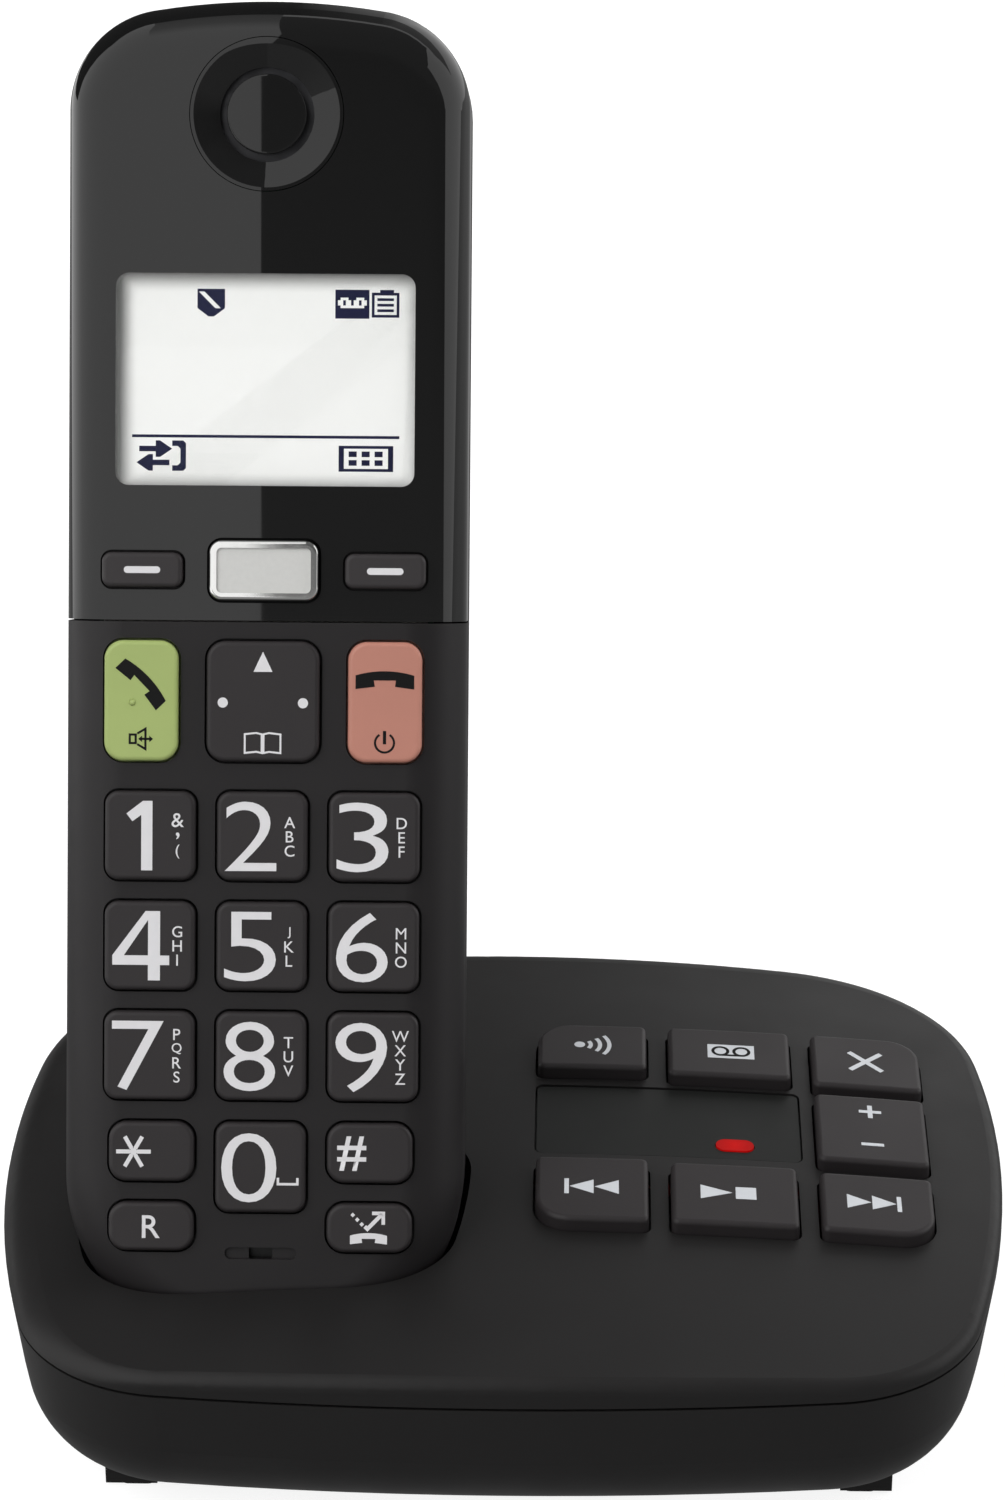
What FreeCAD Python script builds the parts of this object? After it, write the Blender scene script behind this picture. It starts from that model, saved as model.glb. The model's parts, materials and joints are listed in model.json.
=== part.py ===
import FreeCAD, Part
import math
import os
import re

import Sketcher

# Telephone answering machine: a low oval base with message keys, and a big-key cordless handset
# that stands in a cradle in the base, leaning back.
#
# Base frame (millimetres): X to the right, Y to the back, Z up. The origin is on the table, under
# the middle of the base.
# Handset frame: X across, Y from the face to the back, Z along the handset from its lower end.
# The handset frame is turned back by "lean" about X and stands in the cradle at "seat".

Vector = FreeCAD.Vector
Rotation = FreeCAD.Rotation
Placement = FreeCAD.Placement

DIMENSIONS = {
    # Base housing: a plan outline of eight tangent arcs, a drafted tub and a crowned cover.
    "base_width": 123.4,
    "base_front": 50.8,
    "base_rear": 44.6,
    "end_arc": 410.0,
    "side_arc": 131.0,
    "front_corner": 20.0,
    "rear_corner": 27.0,
    "underside": 2.7,
    "seam_height": 21.7,
    "seam_gap": 0.35,
    "tub_draft": 7.1,
    "tub_round": 11.8,
    "tub_wall": 2.0,
    "crown_radius": 600.0,
    "crown_height": 28.3,
    "crown_back": 9.3,
    "cover_wall": 2.0,
    "cover_round": 1.7,
    "cover_round_rear": 4.5,
    "lip_depth": 1.8,
    "lip_wall": 1.0,
    "lip_play": 0.15,
    # Cradle and the place of the handset's lower end at its face.
    "handset_x": -28.3,
    "seat_y": -36.5,
    "seat_z": 18.4,
    "lean": 26.0,
    "cradle_play": 0.8,
    "cradle_rest": 0.3,
    "well_wall": 1.4,
    "leg_width": 5.0,
    "leg_height": 9.0,
    "leg_spread": 28.0,
    # Base keys: three columns and three rows, with tops that follow the crown.
    "key_area_left": 4.1,
    "outer_column": 13.7,
    "middle_column": 15.4,
    "column_gap": 2.75,
    "rear_row_back": 20.7,
    "rear_row_depth": 10.1,
    "row_step": 0.9,
    "front_row_front": -22.2,
    "front_row_depth": 12.7,
    "front_row_step": 0.5,
    "volume_back": 6.75,
    "volume_depth": 14.5,
    "key_rise": 1.8,
    "key_round": 0.6,
    "key_corner": 0.9,
    "outer_corner": 4.2,
    "key_play": 0.3,
    "key_floor": 19.2,
    "flange_width": 0.8,
    "flange_height": 1.0,
    "flange_gap": 0.35,
    "mat_gap": 0.6,
    "base_mat": 1.0,
    "base_board": 1.6,
    "base_board_width": 52.0,
    "base_board_depth": 46.0,
    "base_board_corner": 4.0,
    "board_post_inset_x": 6.0,
    "board_post_inset_y": 4.0,
    "mat_margin": 1.0,
    # Bare window with the message light.
    "window_width": 32.6,
    "window_depth": 14.8,
    "window_middle_y": 1.2,
    "window_corner": 0.8,
    "window_groove": 0.25,
    "window_sunk": 0.15,
    "window_thickness": 1.0,
    "light_length": 4.7,
    "light_width": 2.4,
    "light_x": 28.6,
    "light_y": -3.4,
    "light_play": 0.1,
    # Loudspeaker, sockets, weight, feet and screws of the base.
    "speaker_diameter": 36.0,
    "speaker_height": 9.0,
    "speaker_rim_height": 3.0,
    "speaker_throat": 25.2,
    "speaker_throat_height": 3.0,
    "speaker_magnet": 18.0,
    "speaker_x": 28.0,
    "speaker_y": 0.0,
    "grille_slot": 1.6,
    "grille_pitch": 3.6,
    "grille_diameter": 30.0,
    "socket_width": 12.4,
    "socket_height": 9.6,
    "socket_length": 14.0,
    "socket_floor": 9.6,
    "socket_corner": 0.5,
    "socket_mouth_width": 9.8,
    "socket_mouth_height": 6.4,
    "socket_mouth_depth": 10.5,
    "socket_mouth_corner": 0.4,
    "catch_height": 1.6,
    "catch_corner": 0.3,
    "line_catch": 3.2,
    "power_catch": 4.6,
    "line_socket_x": -24.0,
    "power_socket_x": 22.0,
    "socket_sunk": 0.8,
    "ballast_width": 32.0,
    "ballast_depth": 20.0,
    "ballast_height": 4.0,
    "ballast_corner": 3.0,
    "ballast_x": -22.0,
    "ballast_y": 14.0,
    "foot_x": 44.1,
    "front_foot_y": -33.2,
    "rear_foot_y": 27.6,
    "foot_width": 6.2,
    "foot_depth": 8.0,
    "foot_bottom": 0.4,
    "foot_pad_x": 43.4,
    "foot_pad_width": 4.3,
    "foot_pad_depth": 7.2,
    "foot_pad_height": 1.0,
    "foot_pad_corner": 1.0,
    "post_diameter": 6.0,
    "post_split": 12.0,
    "post_root": 1.0,
    "rear_left_post_x": -35.0,
    "rear_left_post_y": 28.0,
    "right_post_x": 34.0,
    "rear_right_post_y": 29.0,
    "front_left_post_x": 3.0,
    "front_post_y": -32.0,
    "board_post": 5.0,
    "screw_head": 4.6,
    "screw_head_height": 1.8,
    "screw_shank": 2.6,
    "screw_length": 14.0,
    "screw_play": 0.1,
    "screw_sunk": 0.2,
    "cross_length": 2.6,
    "cross_width": 0.6,
    "cross_depth": 0.8,
    # Handset housing.
    "handset_width": 47.5,
    "handset_depth": 26.0,
    "handset_length": 160.6,
    "top_end_arc": 84.0,
    "top_corner": 12.0,
    "bottom_corner": 21.0,
    "edge_round": 7.0,
    "shell_wall": 1.8,
    "shell_split": 13.0,
    "split_gap": 0.2,
    "plate_seam": 87.3,
    # Handset keys.
    "pad_rise": 1.0,
    "pad_round": 0.55,
    "pad_play": 0.28,
    "pad_stem": 3.0,
    "pad_flange": 0.55,
    "pad_flange_front": 2.1,
    "pad_flange_height": 0.5,
    "pad_flange_gap": 0.3,
    "column_pitch": 13.2,
    "row_pitch": 13.0,
    "top_row_along": 62.0,
    "digit_width": 10.7,
    "digit_height": 10.5,
    "digit_corner": 1.6,
    "lower_column": 12.9,
    "lower_width": 10.1,
    "sign_height": 7.1,
    "sign_along": 24.6,
    "zero_along": 22.8,
    "small_height": 5.8,
    "small_along": 15.7,
    "lower_corner": 2.1,
    "call_width": 8.7,
    "call_height": 14.2,
    "call_column": 14.35,
    "call_along": 77.9,
    "call_corner": 2.2,
    "nav_width": 13.3,
    "soft_width": 9.5,
    "soft_height": 4.1,
    "soft_column": 14.3,
    "soft_along": 93.3,
    "soft_corner": 1.1,
    "menu_width": 12.9,
    "menu_height": 7.1,
    "menu_corner": 1.5,
    "menu_frame": 0.9,
    "menu_sunk": 0.3,
    "menu_depth": 1.2,
    # Display, earpiece and microphone.
    "lens_width": 35.0,
    "lens_height": 24.7,
    "lens_along": 115.7,
    "lens_corner": 1.5,
    "lens_play": 0.1,
    "lens_sunk": 0.5,
    "lens_thickness": 1.5,
    "display_width": 38.6,
    "display_height": 28.4,
    "display_play": 0.2,
    "display_front_gap": 0.1,
    "display_corner": 0.8,
    "ear_along": 146.8,
    "ear_dish": 18.2,
    "ear_rim": 0.4,
    "ear_hole": 11.1,
    "ear_sink": 1.2,
    "ear_floor": 1.0,
    "ear_cap": 9.4,
    "ear_cap_sunk": 0.3,
    "ear_cap_round": 0.25,
    "ear_gap": 0.2,
    "receiver_diameter": 13.6,
    "mic_slot_width": 8.5,
    "mic_slot_height": 1.4,
    "mic_slot_depth": 0.5,
    "mic_along": 12.5,
    "mic_hole_width": 2.8,
    "mic_hole_corner": 0.2,
    "mic_play": 0.1,
    "mic_diameter": 6.0,
    "mic_front": 2.1,
    # Handset inside.
    "board_front": 4.8,
    "board_thickness": 1.2,
    "board_width": 39.6,
    "board_start": 5.0,
    "board_end": 152.0,
    "board_corner": 15.0,
    "board_hole_play": 0.2,
    "pad_mat": 1.2,
    "pad_mat_width": 38.4,
    "pad_mat_start": 12.0,
    "pad_mat_end": 95.6,
    "pad_mat_corner": 3.0,
    "mic_notch_play": 0.5,
    "cell_diameter": 10.2,
    "cell_length": 44.5,
    "cell_spacing": 11.2,
    "cell_nub": 3.6,
    "cell_nub_length": 0.8,
    "bay_middle": 60.0,
    "bay_play": 0.2,
    "bay_wall": 1.2,
    "bay_contact": 1.0,
    "contact_plate": 8.2,
    "door_width": 34.0,
    "door_height": 58.0,
    "door_corner": 3.0,
    "door_thickness": 1.6,
    "door_play": 0.2,
    "ledge_height": 1.4,
    "ledge_width": 1.5,
    "rib_length": 14.0,
    "rib_width": 1.0,
    "rib_depth": 0.5,
    "rib_pitch": 2.4,
    "rib_start": 7.0,
    "ringer_diameter": 20.0,
    "ringer_height": 5.0,
    "ringer_rim_height": 2.5,
    "ringer_magnet": 12.0,
    "ringer_along": 116.0,
    "ringer_slot": 1.2,
    "ringer_pitch": 2.4,
    "ringer_edge": 2.0,
    "contact_column": 12.0,
    "contact_along": 13.0,
    "contact_size": 4.0,
    "contact_thickness": 0.8,
    "spring_width": 3.0,
    "spring_gap": 0.3,
    "spring_foot": 6.0,
    "spring_foot_height": 1.0,
    "spring_play": 0.2,
    "fixing_post": 4.8,
    "boss_root": 0.5,
    "upper_fixing_across": 15.0,
    "upper_fixing_along": 146.0,
    "middle_fixing_across": 17.0,
    "middle_fixing_along": 98.5,
    "lower_fixing_across": 9.0,
    "lower_fixing_along": 7.4,
    "fixing_shank": 1.8,
    "fixing_head": 3.2,
    "fixing_head_height": 1.2,
    "fixing_sunk": 1.0,
    "fixing_tip": 2.6,
    "small_cross_length": 2.0,
    "small_cross_width": 0.5,
    "small_cross_depth": 0.6,
}

# Cutting tools reach past the surface that they cut by OVER, or past the whole part by FAR.
OVER = 1.0
FAR = 300.0

doc = FreeCAD.newDocument("AnsweringMachine")
sheet = doc.addObject("Spreadsheet::Sheet", "Dims")
for row, (alias, number) in enumerate(DIMENSIONS.items(), 1):
    sheet.set(f"A{row}", alias)
    sheet.set(f"B{row}", str(number))
    sheet.setAlias(f"B{row}", alias)
doc.recompute()

NODES = []


# ---------------------------------------------------------------- sheet and document helpers

def cell(text):
    """Expression in which each known size name points at its cell."""
    return re.sub(r"[a-z_]+", lambda word: "Dims." + word[0] if word[0] in DIMENSIONS else word[0], text)


def size(text):
    """Number that an expression in size names gives now."""
    return float(sheet.evalExpression(cell(text)))


def bind(item, prop, text):
    item.setExpression(prop, cell(text))


def node(item, label):
    """Keep a document object as a sub-part, under the name of its file."""
    item.Label = label
    NODES.append(item)
    return item


def feature(label, shape):
    item = doc.addObject("Part::Feature", label)
    item.Shape = shape
    return node(item, label)


def on_base(item, x="0", y="0", z="0"):
    """Place an object in the base frame."""
    bind(item, "Placement.Base.x", x)
    bind(item, "Placement.Base.y", y)
    bind(item, "Placement.Base.z", z)
    return item


def on_handset(item, across="0", depth="0", along="0"):
    """Place an object in the handset frame, turned back with the handset."""
    item.Placement = Placement(Vector(), Rotation(Vector(1, 0, 0), -size("lean")))
    bind(item, "Placement.Base.x", f"handset_x + ({across})")
    bind(item, "Placement.Base.y", f"seat_y + ({depth}) * cos(lean) + ({along}) * sin(lean)")
    bind(item, "Placement.Base.z", f"seat_z - ({depth}) * sin(lean) + ({along}) * cos(lean)")
    return item


def handset_place():
    """Placement of the handset frame, for shapes that the base shares with the handset."""
    seat = Vector(size("handset_x"), size("seat_y"), size("seat_z"))
    return Placement(seat, Rotation(Vector(1, 0, 0), -size("lean")))


# ---------------------------------------------------------------- sketch-based bodies

def new_body(label):
    body = doc.addObject("PartDesign::Body", label)
    return node(body, label)


def new_sketch(body, name, plane, lift):
    """Sketch on one of the body's origin planes, moved along the plane's normal by lift."""
    sketch = body.newObject("Sketcher::SketchObject", name)
    planes = [item for item in body.Origin.OriginFeatures if item.Role == plane]
    sketch.AttachmentSupport = [(planes[0], "")]
    sketch.MapMode = "FlatFace"
    bind(sketch, "AttachmentOffset.Base.z", lift)
    return sketch


def rounded_rectangle(body, name, plane, width, height, corners, lift="0"):
    """Rounded rectangle about the body's origin.

    corners is one size, or four: lower right, upper right, upper left, lower left.
    """
    if isinstance(corners, str):
        corners = (corners,) * 4
    sketch = new_sketch(body, name, plane, lift)
    half_w, half_h = size(width) / 2, size(height) / 2
    signs = ((1, -1), (1, 1), (-1, 1), (-1, -1))
    radii = [size(corner) for corner in corners]
    centres = [Vector(sx * (half_w - r), sy * (half_h - r), 0) for (sx, sy), r in zip(signs, radii)]
    for turn in range(4):
        centre, radius = centres[turn], radii[turn]
        before, last = centres[turn - 1], radii[turn - 1]
        side = Vector(0, -1, 0) if turn == 0 else Vector(1, 0, 0) if turn == 1 else (
            Vector(0, 1, 0) if turn == 2 else Vector(-1, 0, 0))
        sketch.addGeometry(Part.LineSegment(before + side * last, centre + side * radius), False)
        circle = Part.Circle(centre, Vector(0, 0, 1), radius)
        start = math.radians(90 * turn - 90)
        sketch.addGeometry(Part.ArcOfCircle(circle, start, start + math.pi / 2), False)
    for edge in range(8):
        sketch.addConstraint(Sketcher.Constraint("Tangent", edge, 2, (edge + 1) % 8, 1))
    for line in (0, 4):
        sketch.addConstraint(Sketcher.Constraint("Horizontal", line))
    for line in (2, 6):
        sketch.addConstraint(Sketcher.Constraint("Vertical", line))
    for turn, corner in enumerate(corners):
        index = sketch.addConstraint(Sketcher.Constraint("Radius", 2 * turn + 1, radii[turn]))
        bind(sketch, f"Constraints[{index}]", corner)
    reach = (
        (Sketcher.Constraint("DistanceX", -1, 1, 2, 1, half_w), width),
        (Sketcher.Constraint("DistanceX", 6, 1, -1, 1, half_w), width),
        (Sketcher.Constraint("DistanceY", -1, 1, 4, 1, half_h), height),
        (Sketcher.Constraint("DistanceY", 0, 1, -1, 1, half_h), height),
    )
    for constraint, whole in reach:
        index = sketch.addConstraint(constraint)
        bind(sketch, f"Constraints[{index}]", f"({whole}) / 2")
    return sketch


def circles(body, name, plane, diameter, centres=(("0", "0"),), lift="0"):
    """Equal circles at centres given as expressions from the body's origin."""
    sketch = new_sketch(body, name, plane, lift)
    for index, (x, y) in enumerate(centres):
        middle = Vector(size(x), size(y), 0)
        sketch.addGeometry(Part.Circle(middle, Vector(0, 0, 1), size(diameter) / 2), False)
        held = sketch.addConstraint(Sketcher.Constraint("Radius", index, size(diameter) / 2))
        bind(sketch, f"Constraints[{held}]", f"({diameter}) / 2")
        if (x, y) == ("0", "0"):
            sketch.addConstraint(Sketcher.Constraint("Coincident", index, 3, -1, 1))
            continue
        for kind, text in (("DistanceX", x), ("DistanceY", y)):
            held = sketch.addConstraint(Sketcher.Constraint(kind, -1, 1, index, 3, size(text)))
            bind(sketch, f"Constraints[{held}]", text)
    return sketch


def pad(body, name, sketch, length):
    item = body.newObject("PartDesign::Pad", name)
    item.Profile = sketch
    bind(item, "Length", length)
    return item


def pocket(body, name, sketch, length, forward=False):
    """Cut against the sketch's normal, or along it if forward, and check that it removes something."""
    doc.recompute()
    before = body.Shape.Volume
    item = body.newObject("PartDesign::Pocket", name)
    item.Profile = sketch
    item.Reversed = forward
    bind(item, "Length", length)
    doc.recompute()
    assert body.Shape.Volume < before - 1e-6, f"{name} cuts nothing"
    return item


def edges_in_plane(shape, axis, position):
    """Numbers of the edges that lie in a plane across an axis."""
    found = []
    for number, edge in enumerate(shape.Edges, 1):
        box = edge.BoundBox
        low, high = (box.YMin, box.YMax) if axis == "Y" else (box.ZMin, box.ZMax)
        if abs(low - position) < 1e-3 and abs(high - position) < 1e-3:
            found.append(number)
    return found


def round_rim(body, name, base, axis, position, radius):
    """Fillet all edges of a body feature that lie in one plane."""
    doc.recompute()
    item = body.newObject("PartDesign::Fillet", name)
    item.Base = (base, [f"Edge{number}" for number in edges_in_plane(base.Shape, axis, position)])
    bind(item, "Radius", radius)
    return item


# ---------------------------------------------------------------- plain shapes for the shells

def box(x, y, z):
    """Box from three (low, high) pairs."""
    spans = [high - low for low, high in (x, y, z)]
    return Part.makeBox(*spans, Vector(x[0], y[0], z[0]))


def rod(diameter, low, high, x, y):
    """Upright cylinder."""
    return Part.makeCylinder(diameter / 2, high - low, Vector(x, y, low))


def pin(diameter, front, back, across, along):
    """Cylinder through the handset from front to back."""
    return Part.makeCylinder(diameter / 2, back - front, Vector(across, front, along), Vector(0, 1, 0))


def slab(width, height, corner, low, high, middle, upright):
    """Rounded rectangle as a prism: along Z if upright, else along Y in the handset frame."""
    half_w, half_h = width / 2, height / 2
    corner = min(corner, half_w - 1e-3, half_h - 1e-3)
    flat = [(half_w, half_h), (-half_w, half_h), (-half_w, -half_h), (half_w, -half_h)]
    ring = Part.makePolygon([Vector(x, y, 0) for x, y in flat + flat[:1]])
    prism = Part.Face(ring).extrude(Vector(0, 0, high - low))
    sides = [edge for edge in prism.Edges if edge.BoundBox.ZLength > 1e-3]
    prism = prism.makeFillet(corner, sides)
    if upright:
        prism.translate(Vector(middle[0], middle[1], low))
        return prism
    prism.rotate(Vector(), Vector(1, 0, 0), 90)
    prism.translate(Vector(middle[0], high, middle[1]))
    return prism


def ball(offset):
    """Solid ball whose top is the crown of the cover, moved out by an offset."""
    sphere = Part.makeSphere(size("crown_radius") + offset)
    centre = Vector(0, size("crown_back"), size("crown_height - crown_radius"))
    sphere.Placement = Placement(centre, Rotation(Vector(0, 1, 0), 90))
    return sphere


def crown_at(x, y, offset=0.0):
    """Height of the crown, moved out by an offset, above a point of the table."""
    radius = size("crown_radius") + offset
    away = x * x + (y - size("crown_back")) ** 2
    return size("crown_height - crown_radius") + math.sqrt(radius * radius - away)


def corner_arc(reach, radius):
    """Corner of the outline in the quarter where x and y are positive, for one end of the base.

    Returns the corner's centre and the directions to its ends on the end arc and the side arc.
    """
    end, side, half_w = size("end_arc"), size("side_arc"), size("base_width / 2")
    end_centre = Vector(0, reach - end, 0)
    side_centre = Vector(half_w - side, 0, 0)
    between = side_centre - end_centre
    first, second = end - radius, side - radius
    along = (first ** 2 - second ** 2 + between.Length ** 2) / (2 * between.Length)
    unit = between / between.Length
    across = Vector(unit.y, -unit.x, 0) * math.sqrt(first ** 2 - along ** 2)
    centre = end_centre + unit * along + across
    return centre, (centre - end_centre).normalize(), (centre - side_centre).normalize()


def base_outline(inset, height):
    """Plan outline of the base as eight tangent arcs, moved inwards by an inset."""
    half_w = size("base_width / 2") - inset
    arcs, ends = [], {}
    for sy, end, corner in ((-1, "base_front", "front_corner"), (1, "base_rear", "rear_corner")):
        reach, radius = size(end), size(corner)
        centre, to_end, to_side = corner_arc(reach, radius)
        to_middle = (to_end + to_side).normalize()
        first, middle, last = [centre + way * (radius - inset) for way in (to_end, to_middle, to_side)]
        for sx in (-1, 1):
            turn = [Vector(sx * point.x, sy * point.y, height) for point in (first, middle, last)]
            arcs.append(Part.Arc(*turn).toShape())
            ends[sx, sy] = turn[2]
        across = [Vector(sx * first.x, sy * first.y, height) for sx in (-1, 1)]
        arcs.append(Part.Arc(across[0], Vector(0, sy * (reach - inset), height), across[1]).toShape())
    for sx in (-1, 1):
        arcs.append(Part.Arc(ends[sx, -1], Vector(sx * half_w, 0, height), ends[sx, 1]).toShape())
    return Part.Wire(Part.__sortEdges__(arcs))


def base_prism(inset, low, high):
    return Part.Face(base_outline(inset, low)).extrude(Vector(0, 0, high - low))


def drafted_block(inset, low, high, rounding):
    """Solid of the tub between two heights, narrower below by the draft, with a rounded foot."""
    slope = math.tan(math.radians(size("tub_draft")))
    top = size("seam_height")
    wires = [base_outline(inset + slope * (top - level), level) for level in (low, high)]
    block = Part.makeLoft(wires, True, True)
    foot = [block.Edges[number - 1] for number in edges_in_plane(block, "Z", low)]
    return block.makeFillet(rounding, foot)


def handset_form(grow):
    """Outer form of the handset in its own frame, grown by one distance on every side."""
    half = size("handset_width / 2") + grow
    top, bottom = size("handset_length") + grow, -grow
    front, back = -grow, size("handset_depth") + grow
    end_arc, top_corner = size("top_end_arc") + grow, size("top_corner") + grow
    low_corner, rounding = size("bottom_corner") + grow, size("edge_round") + grow
    corner = Vector(half - top_corner, 0, 0)
    corner.z = top - end_arc + math.sqrt((end_arc - top_corner) ** 2 - corner.x ** 2)
    end_centre = Vector(0, 0, top - end_arc)
    outward = (corner - end_centre).normalize()
    join = corner + outward * top_corner
    bulge = corner + (outward + Vector(1, 0, 0)).normalize() * top_corner
    low = Vector(half - low_corner, 0, bottom + low_corner)
    low_bulge = low + Vector(1, 0, -1).normalize() * low_corner

    def flip(point):
        return Vector(-point.x, point.y, point.z)

    foot = Vector(low.x, 0, bottom)
    shoulder, waist = Vector(half, 0, corner.z), Vector(half, 0, low.z)
    edges = [
        Part.LineSegment(flip(foot), foot),
        Part.Arc(foot, low_bulge, waist),
        Part.LineSegment(waist, shoulder),
        Part.Arc(shoulder, bulge, join),
        Part.Arc(join, Vector(0, 0, top), flip(join)),
        Part.Arc(flip(join), flip(bulge), flip(shoulder)),
        Part.LineSegment(flip(shoulder), flip(waist)),
        Part.Arc(flip(waist), flip(low_bulge), flip(foot)),
    ]
    outline = Part.Wire([edge.toShape() for edge in edges])
    outline.translate(Vector(0, front, 0))
    block = Part.Face(outline).extrude(Vector(0, back - front, 0))
    rims = edges_in_plane(block, "Y", front) + edges_in_plane(block, "Y", back)
    return block.makeFillet(rounding, [block.Edges[number - 1] for number in rims])


def cradle_form(grow):
    """Handset form grown for the cradle, raised so that the handset's end rests on its floor."""
    form = handset_form(grow)
    form.translate(Vector(0, 0, size("cradle_play - cradle_rest")))
    form.Placement = handset_place() * form.Placement
    return form


# ---------------------------------------------------------------- layout of the keys

# Base keys: name -> (left, width, front, back, corners from the lower right, anticlockwise).
LEFT = "key_area_left"
MIDDLE = "(key_area_left + outer_column + column_gap)"
RIGHT = "(key_area_left + outer_column + middle_column + 2 * column_gap)"
REAR_FRONT = "(rear_row_back - rear_row_depth)"
FRONT_BACK = "(front_row_front + front_row_depth)"
SMALL, LARGE = "key_corner", "outer_corner"
BASE_KEYS = {
    "paging_key": (LEFT, "outer_column", REAR_FRONT, "rear_row_back", (SMALL, SMALL, LARGE, SMALL)),
    "answer_key": (MIDDLE, "middle_column", f"({REAR_FRONT} - row_step)", "rear_row_back", (SMALL,) * 4),
    "delete_key": (RIGHT, "outer_column", f"({REAR_FRONT} - 2 * row_step)", "rear_row_back",
                   (SMALL, LARGE, SMALL, SMALL)),
    "volume_key": (RIGHT, "outer_column", "(volume_back - volume_depth)", "volume_back", (SMALL,) * 4),
    "previous_key": (LEFT, "outer_column", "front_row_front", FRONT_BACK, (SMALL, SMALL, SMALL, LARGE)),
    "play_key": (MIDDLE, "middle_column", "front_row_front", f"({FRONT_BACK} - front_row_step)",
                 (SMALL,) * 4),
    "next_key": (RIGHT, "outer_column", "front_row_front", f"({FRONT_BACK} - 2 * front_row_step)",
                 (LARGE, SMALL, SMALL, SMALL)),
}

# Handset keys: name -> (across, along, width, height, corner).
HANDSET_KEYS = {
    "soft_key_left": ("-soft_column", "soft_along", "soft_width", "soft_height", "soft_corner"),
    "soft_key_right": ("soft_column", "soft_along", "soft_width", "soft_height", "soft_corner"),
    "menu_key_frame": ("0", "soft_along", "menu_width", "menu_height", "menu_corner"),
    "call_key": ("-call_column", "call_along", "call_width", "call_height", "call_corner"),
    "nav_key": ("0", "call_along", "nav_width", "call_height", "call_corner"),
    "end_key": ("call_column", "call_along", "call_width", "call_height", "call_corner"),
    "star_key": ("-lower_column", "sign_along", "lower_width", "sign_height", "lower_corner"),
    "digit_key_0": ("0", "zero_along", "digit_width", "digit_width", "digit_corner"),
    "hash_key": ("lower_column", "sign_along", "lower_width", "sign_height", "lower_corner"),
    "recall_key": ("-lower_column", "small_along", "lower_width", "small_height", "lower_corner"),
    "divert_key": ("lower_column", "small_along", "lower_width", "small_height", "lower_corner"),
}
for digit in range(1, 10):
    line, column = divmod(digit - 1, 3)
    HANDSET_KEYS[f"digit_key_{digit}"] = (
        f"{column - 1} * column_pitch", f"top_row_along - {line} * row_pitch",
        "digit_width", "digit_height", "digit_corner")

# Screws, each at a place named by two sizes.
BASE_POSTS = (("rear_left_post_x", "rear_left_post_y"), ("right_post_x", "rear_right_post_y"),
              ("right_post_x", "front_post_y"), ("front_left_post_x", "front_post_y"))
FIXINGS = (("middle_fixing_across", "middle_fixing_along"), ("lower_fixing_across", "lower_fixing_along"),
           ("upper_fixing_across", "upper_fixing_along"))
KEY_MIDDLE = f"({MIDDLE} + middle_column / 2)"
THUMB_RIBS = 4
RINGER_SLOTS = 5


def places(names):
    """Pairs of numbers from pairs of size names."""
    return [(size(first), size(second)) for first, second in names]


def board_posts():
    """Places of the posts under the corners of the base's circuit board."""
    reach_x = size("base_board_width / 2 - board_post_inset_x")
    reach_y = size("base_board_depth / 2 - board_post_inset_y")
    return [(size(KEY_MIDDLE) + sx * reach_x, sy * reach_y) for sx in (-1, 1) for sy in (-1, 1)]


def key_box(name):
    """Left, right, front and back of a base key."""
    left, width, front, back, _ = BASE_KEYS[name]
    return size(left), size(f"{left} + {width}"), size(front), size(back)


def key_flange_top(name):
    """Height of a base key's flange: just under the lowest place of the cover above it."""
    left, right, front, back = key_box(name)
    spread = size("flange_width")
    away_y = max((front - spread, back + spread), key=lambda y: abs(y - size("crown_back")))
    return crown_at(right + spread, away_y, -size("cover_wall")) - size("flange_gap")


# ---------------------------------------------------------------- base housing

def base_cover():
    """Crowned cover with its skirt, key holes, window recess, cradle mouth and screw posts."""
    skirt = size("seam_height + seam_gap / 2")
    high = size("crown_height") + OVER
    outer = rounded_cover(base_prism(0, skirt, high).common(ball(0)))
    inner = base_prism(size("cover_wall"), skirt - OVER, high).common(ball(-size("cover_wall")))
    cover = outer.cut(inner)
    under = ball(-size("cover_wall / 2"))
    posts = [rod(size("post_diameter"), size("post_split"), high, x, y) for x, y in places(BASE_POSTS)]
    cover = cover.fuse([post.common(under) for post in posts])
    tools = [cradle_form(size("cradle_play"))]
    for name in BASE_KEYS:
        left, right, front, back = key_box(name)
        play = size("key_play")
        corner = [size(radius) + play for radius in BASE_KEYS[name][4]]
        tools.append(key_prism(left - play, right + play, front - play, back + play, corner, 0, high))
    tools.append(window_prism(size("window_groove"), high).cut(ball(-size("window_sunk + window_thickness"))))
    tools.append(light_prism(size("light_play"), 0, high))
    hole = size("screw_shank + 2 * screw_play")
    tip = size("underside + screw_head_height + screw_length + screw_play")
    tools += [rod(hole, size("post_split") - OVER, tip, x, y) for x, y in places(BASE_POSTS)]
    return cover.cut(tools).removeSplitter()


def rounded_cover(blank):
    """Round the crowned rim: small at the front, larger at the rear, growing along the sides."""
    sharp = doc.addObject("Part::Feature", "cover_blank")
    sharp.Shape = blank
    rounded = doc.addObject("Part::Fillet", "cover_rounded")
    rounded.Base = sharp
    rim = []
    for number in crown_edges(blank, 0):
        edge = blank.Edges[number - 1]
        ends = [edge.valueAt(edge.FirstParameter), edge.valueAt(edge.LastParameter)]
        if edge.Orientation == "Reversed":
            ends.reverse()
        radii = [size("cover_round_rear" if end.y > 0 else "cover_round") for end in ends]
        rim.append((number, *radii))
    rounded.Edges = rim
    doc.recompute()
    return rounded.Shape


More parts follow.
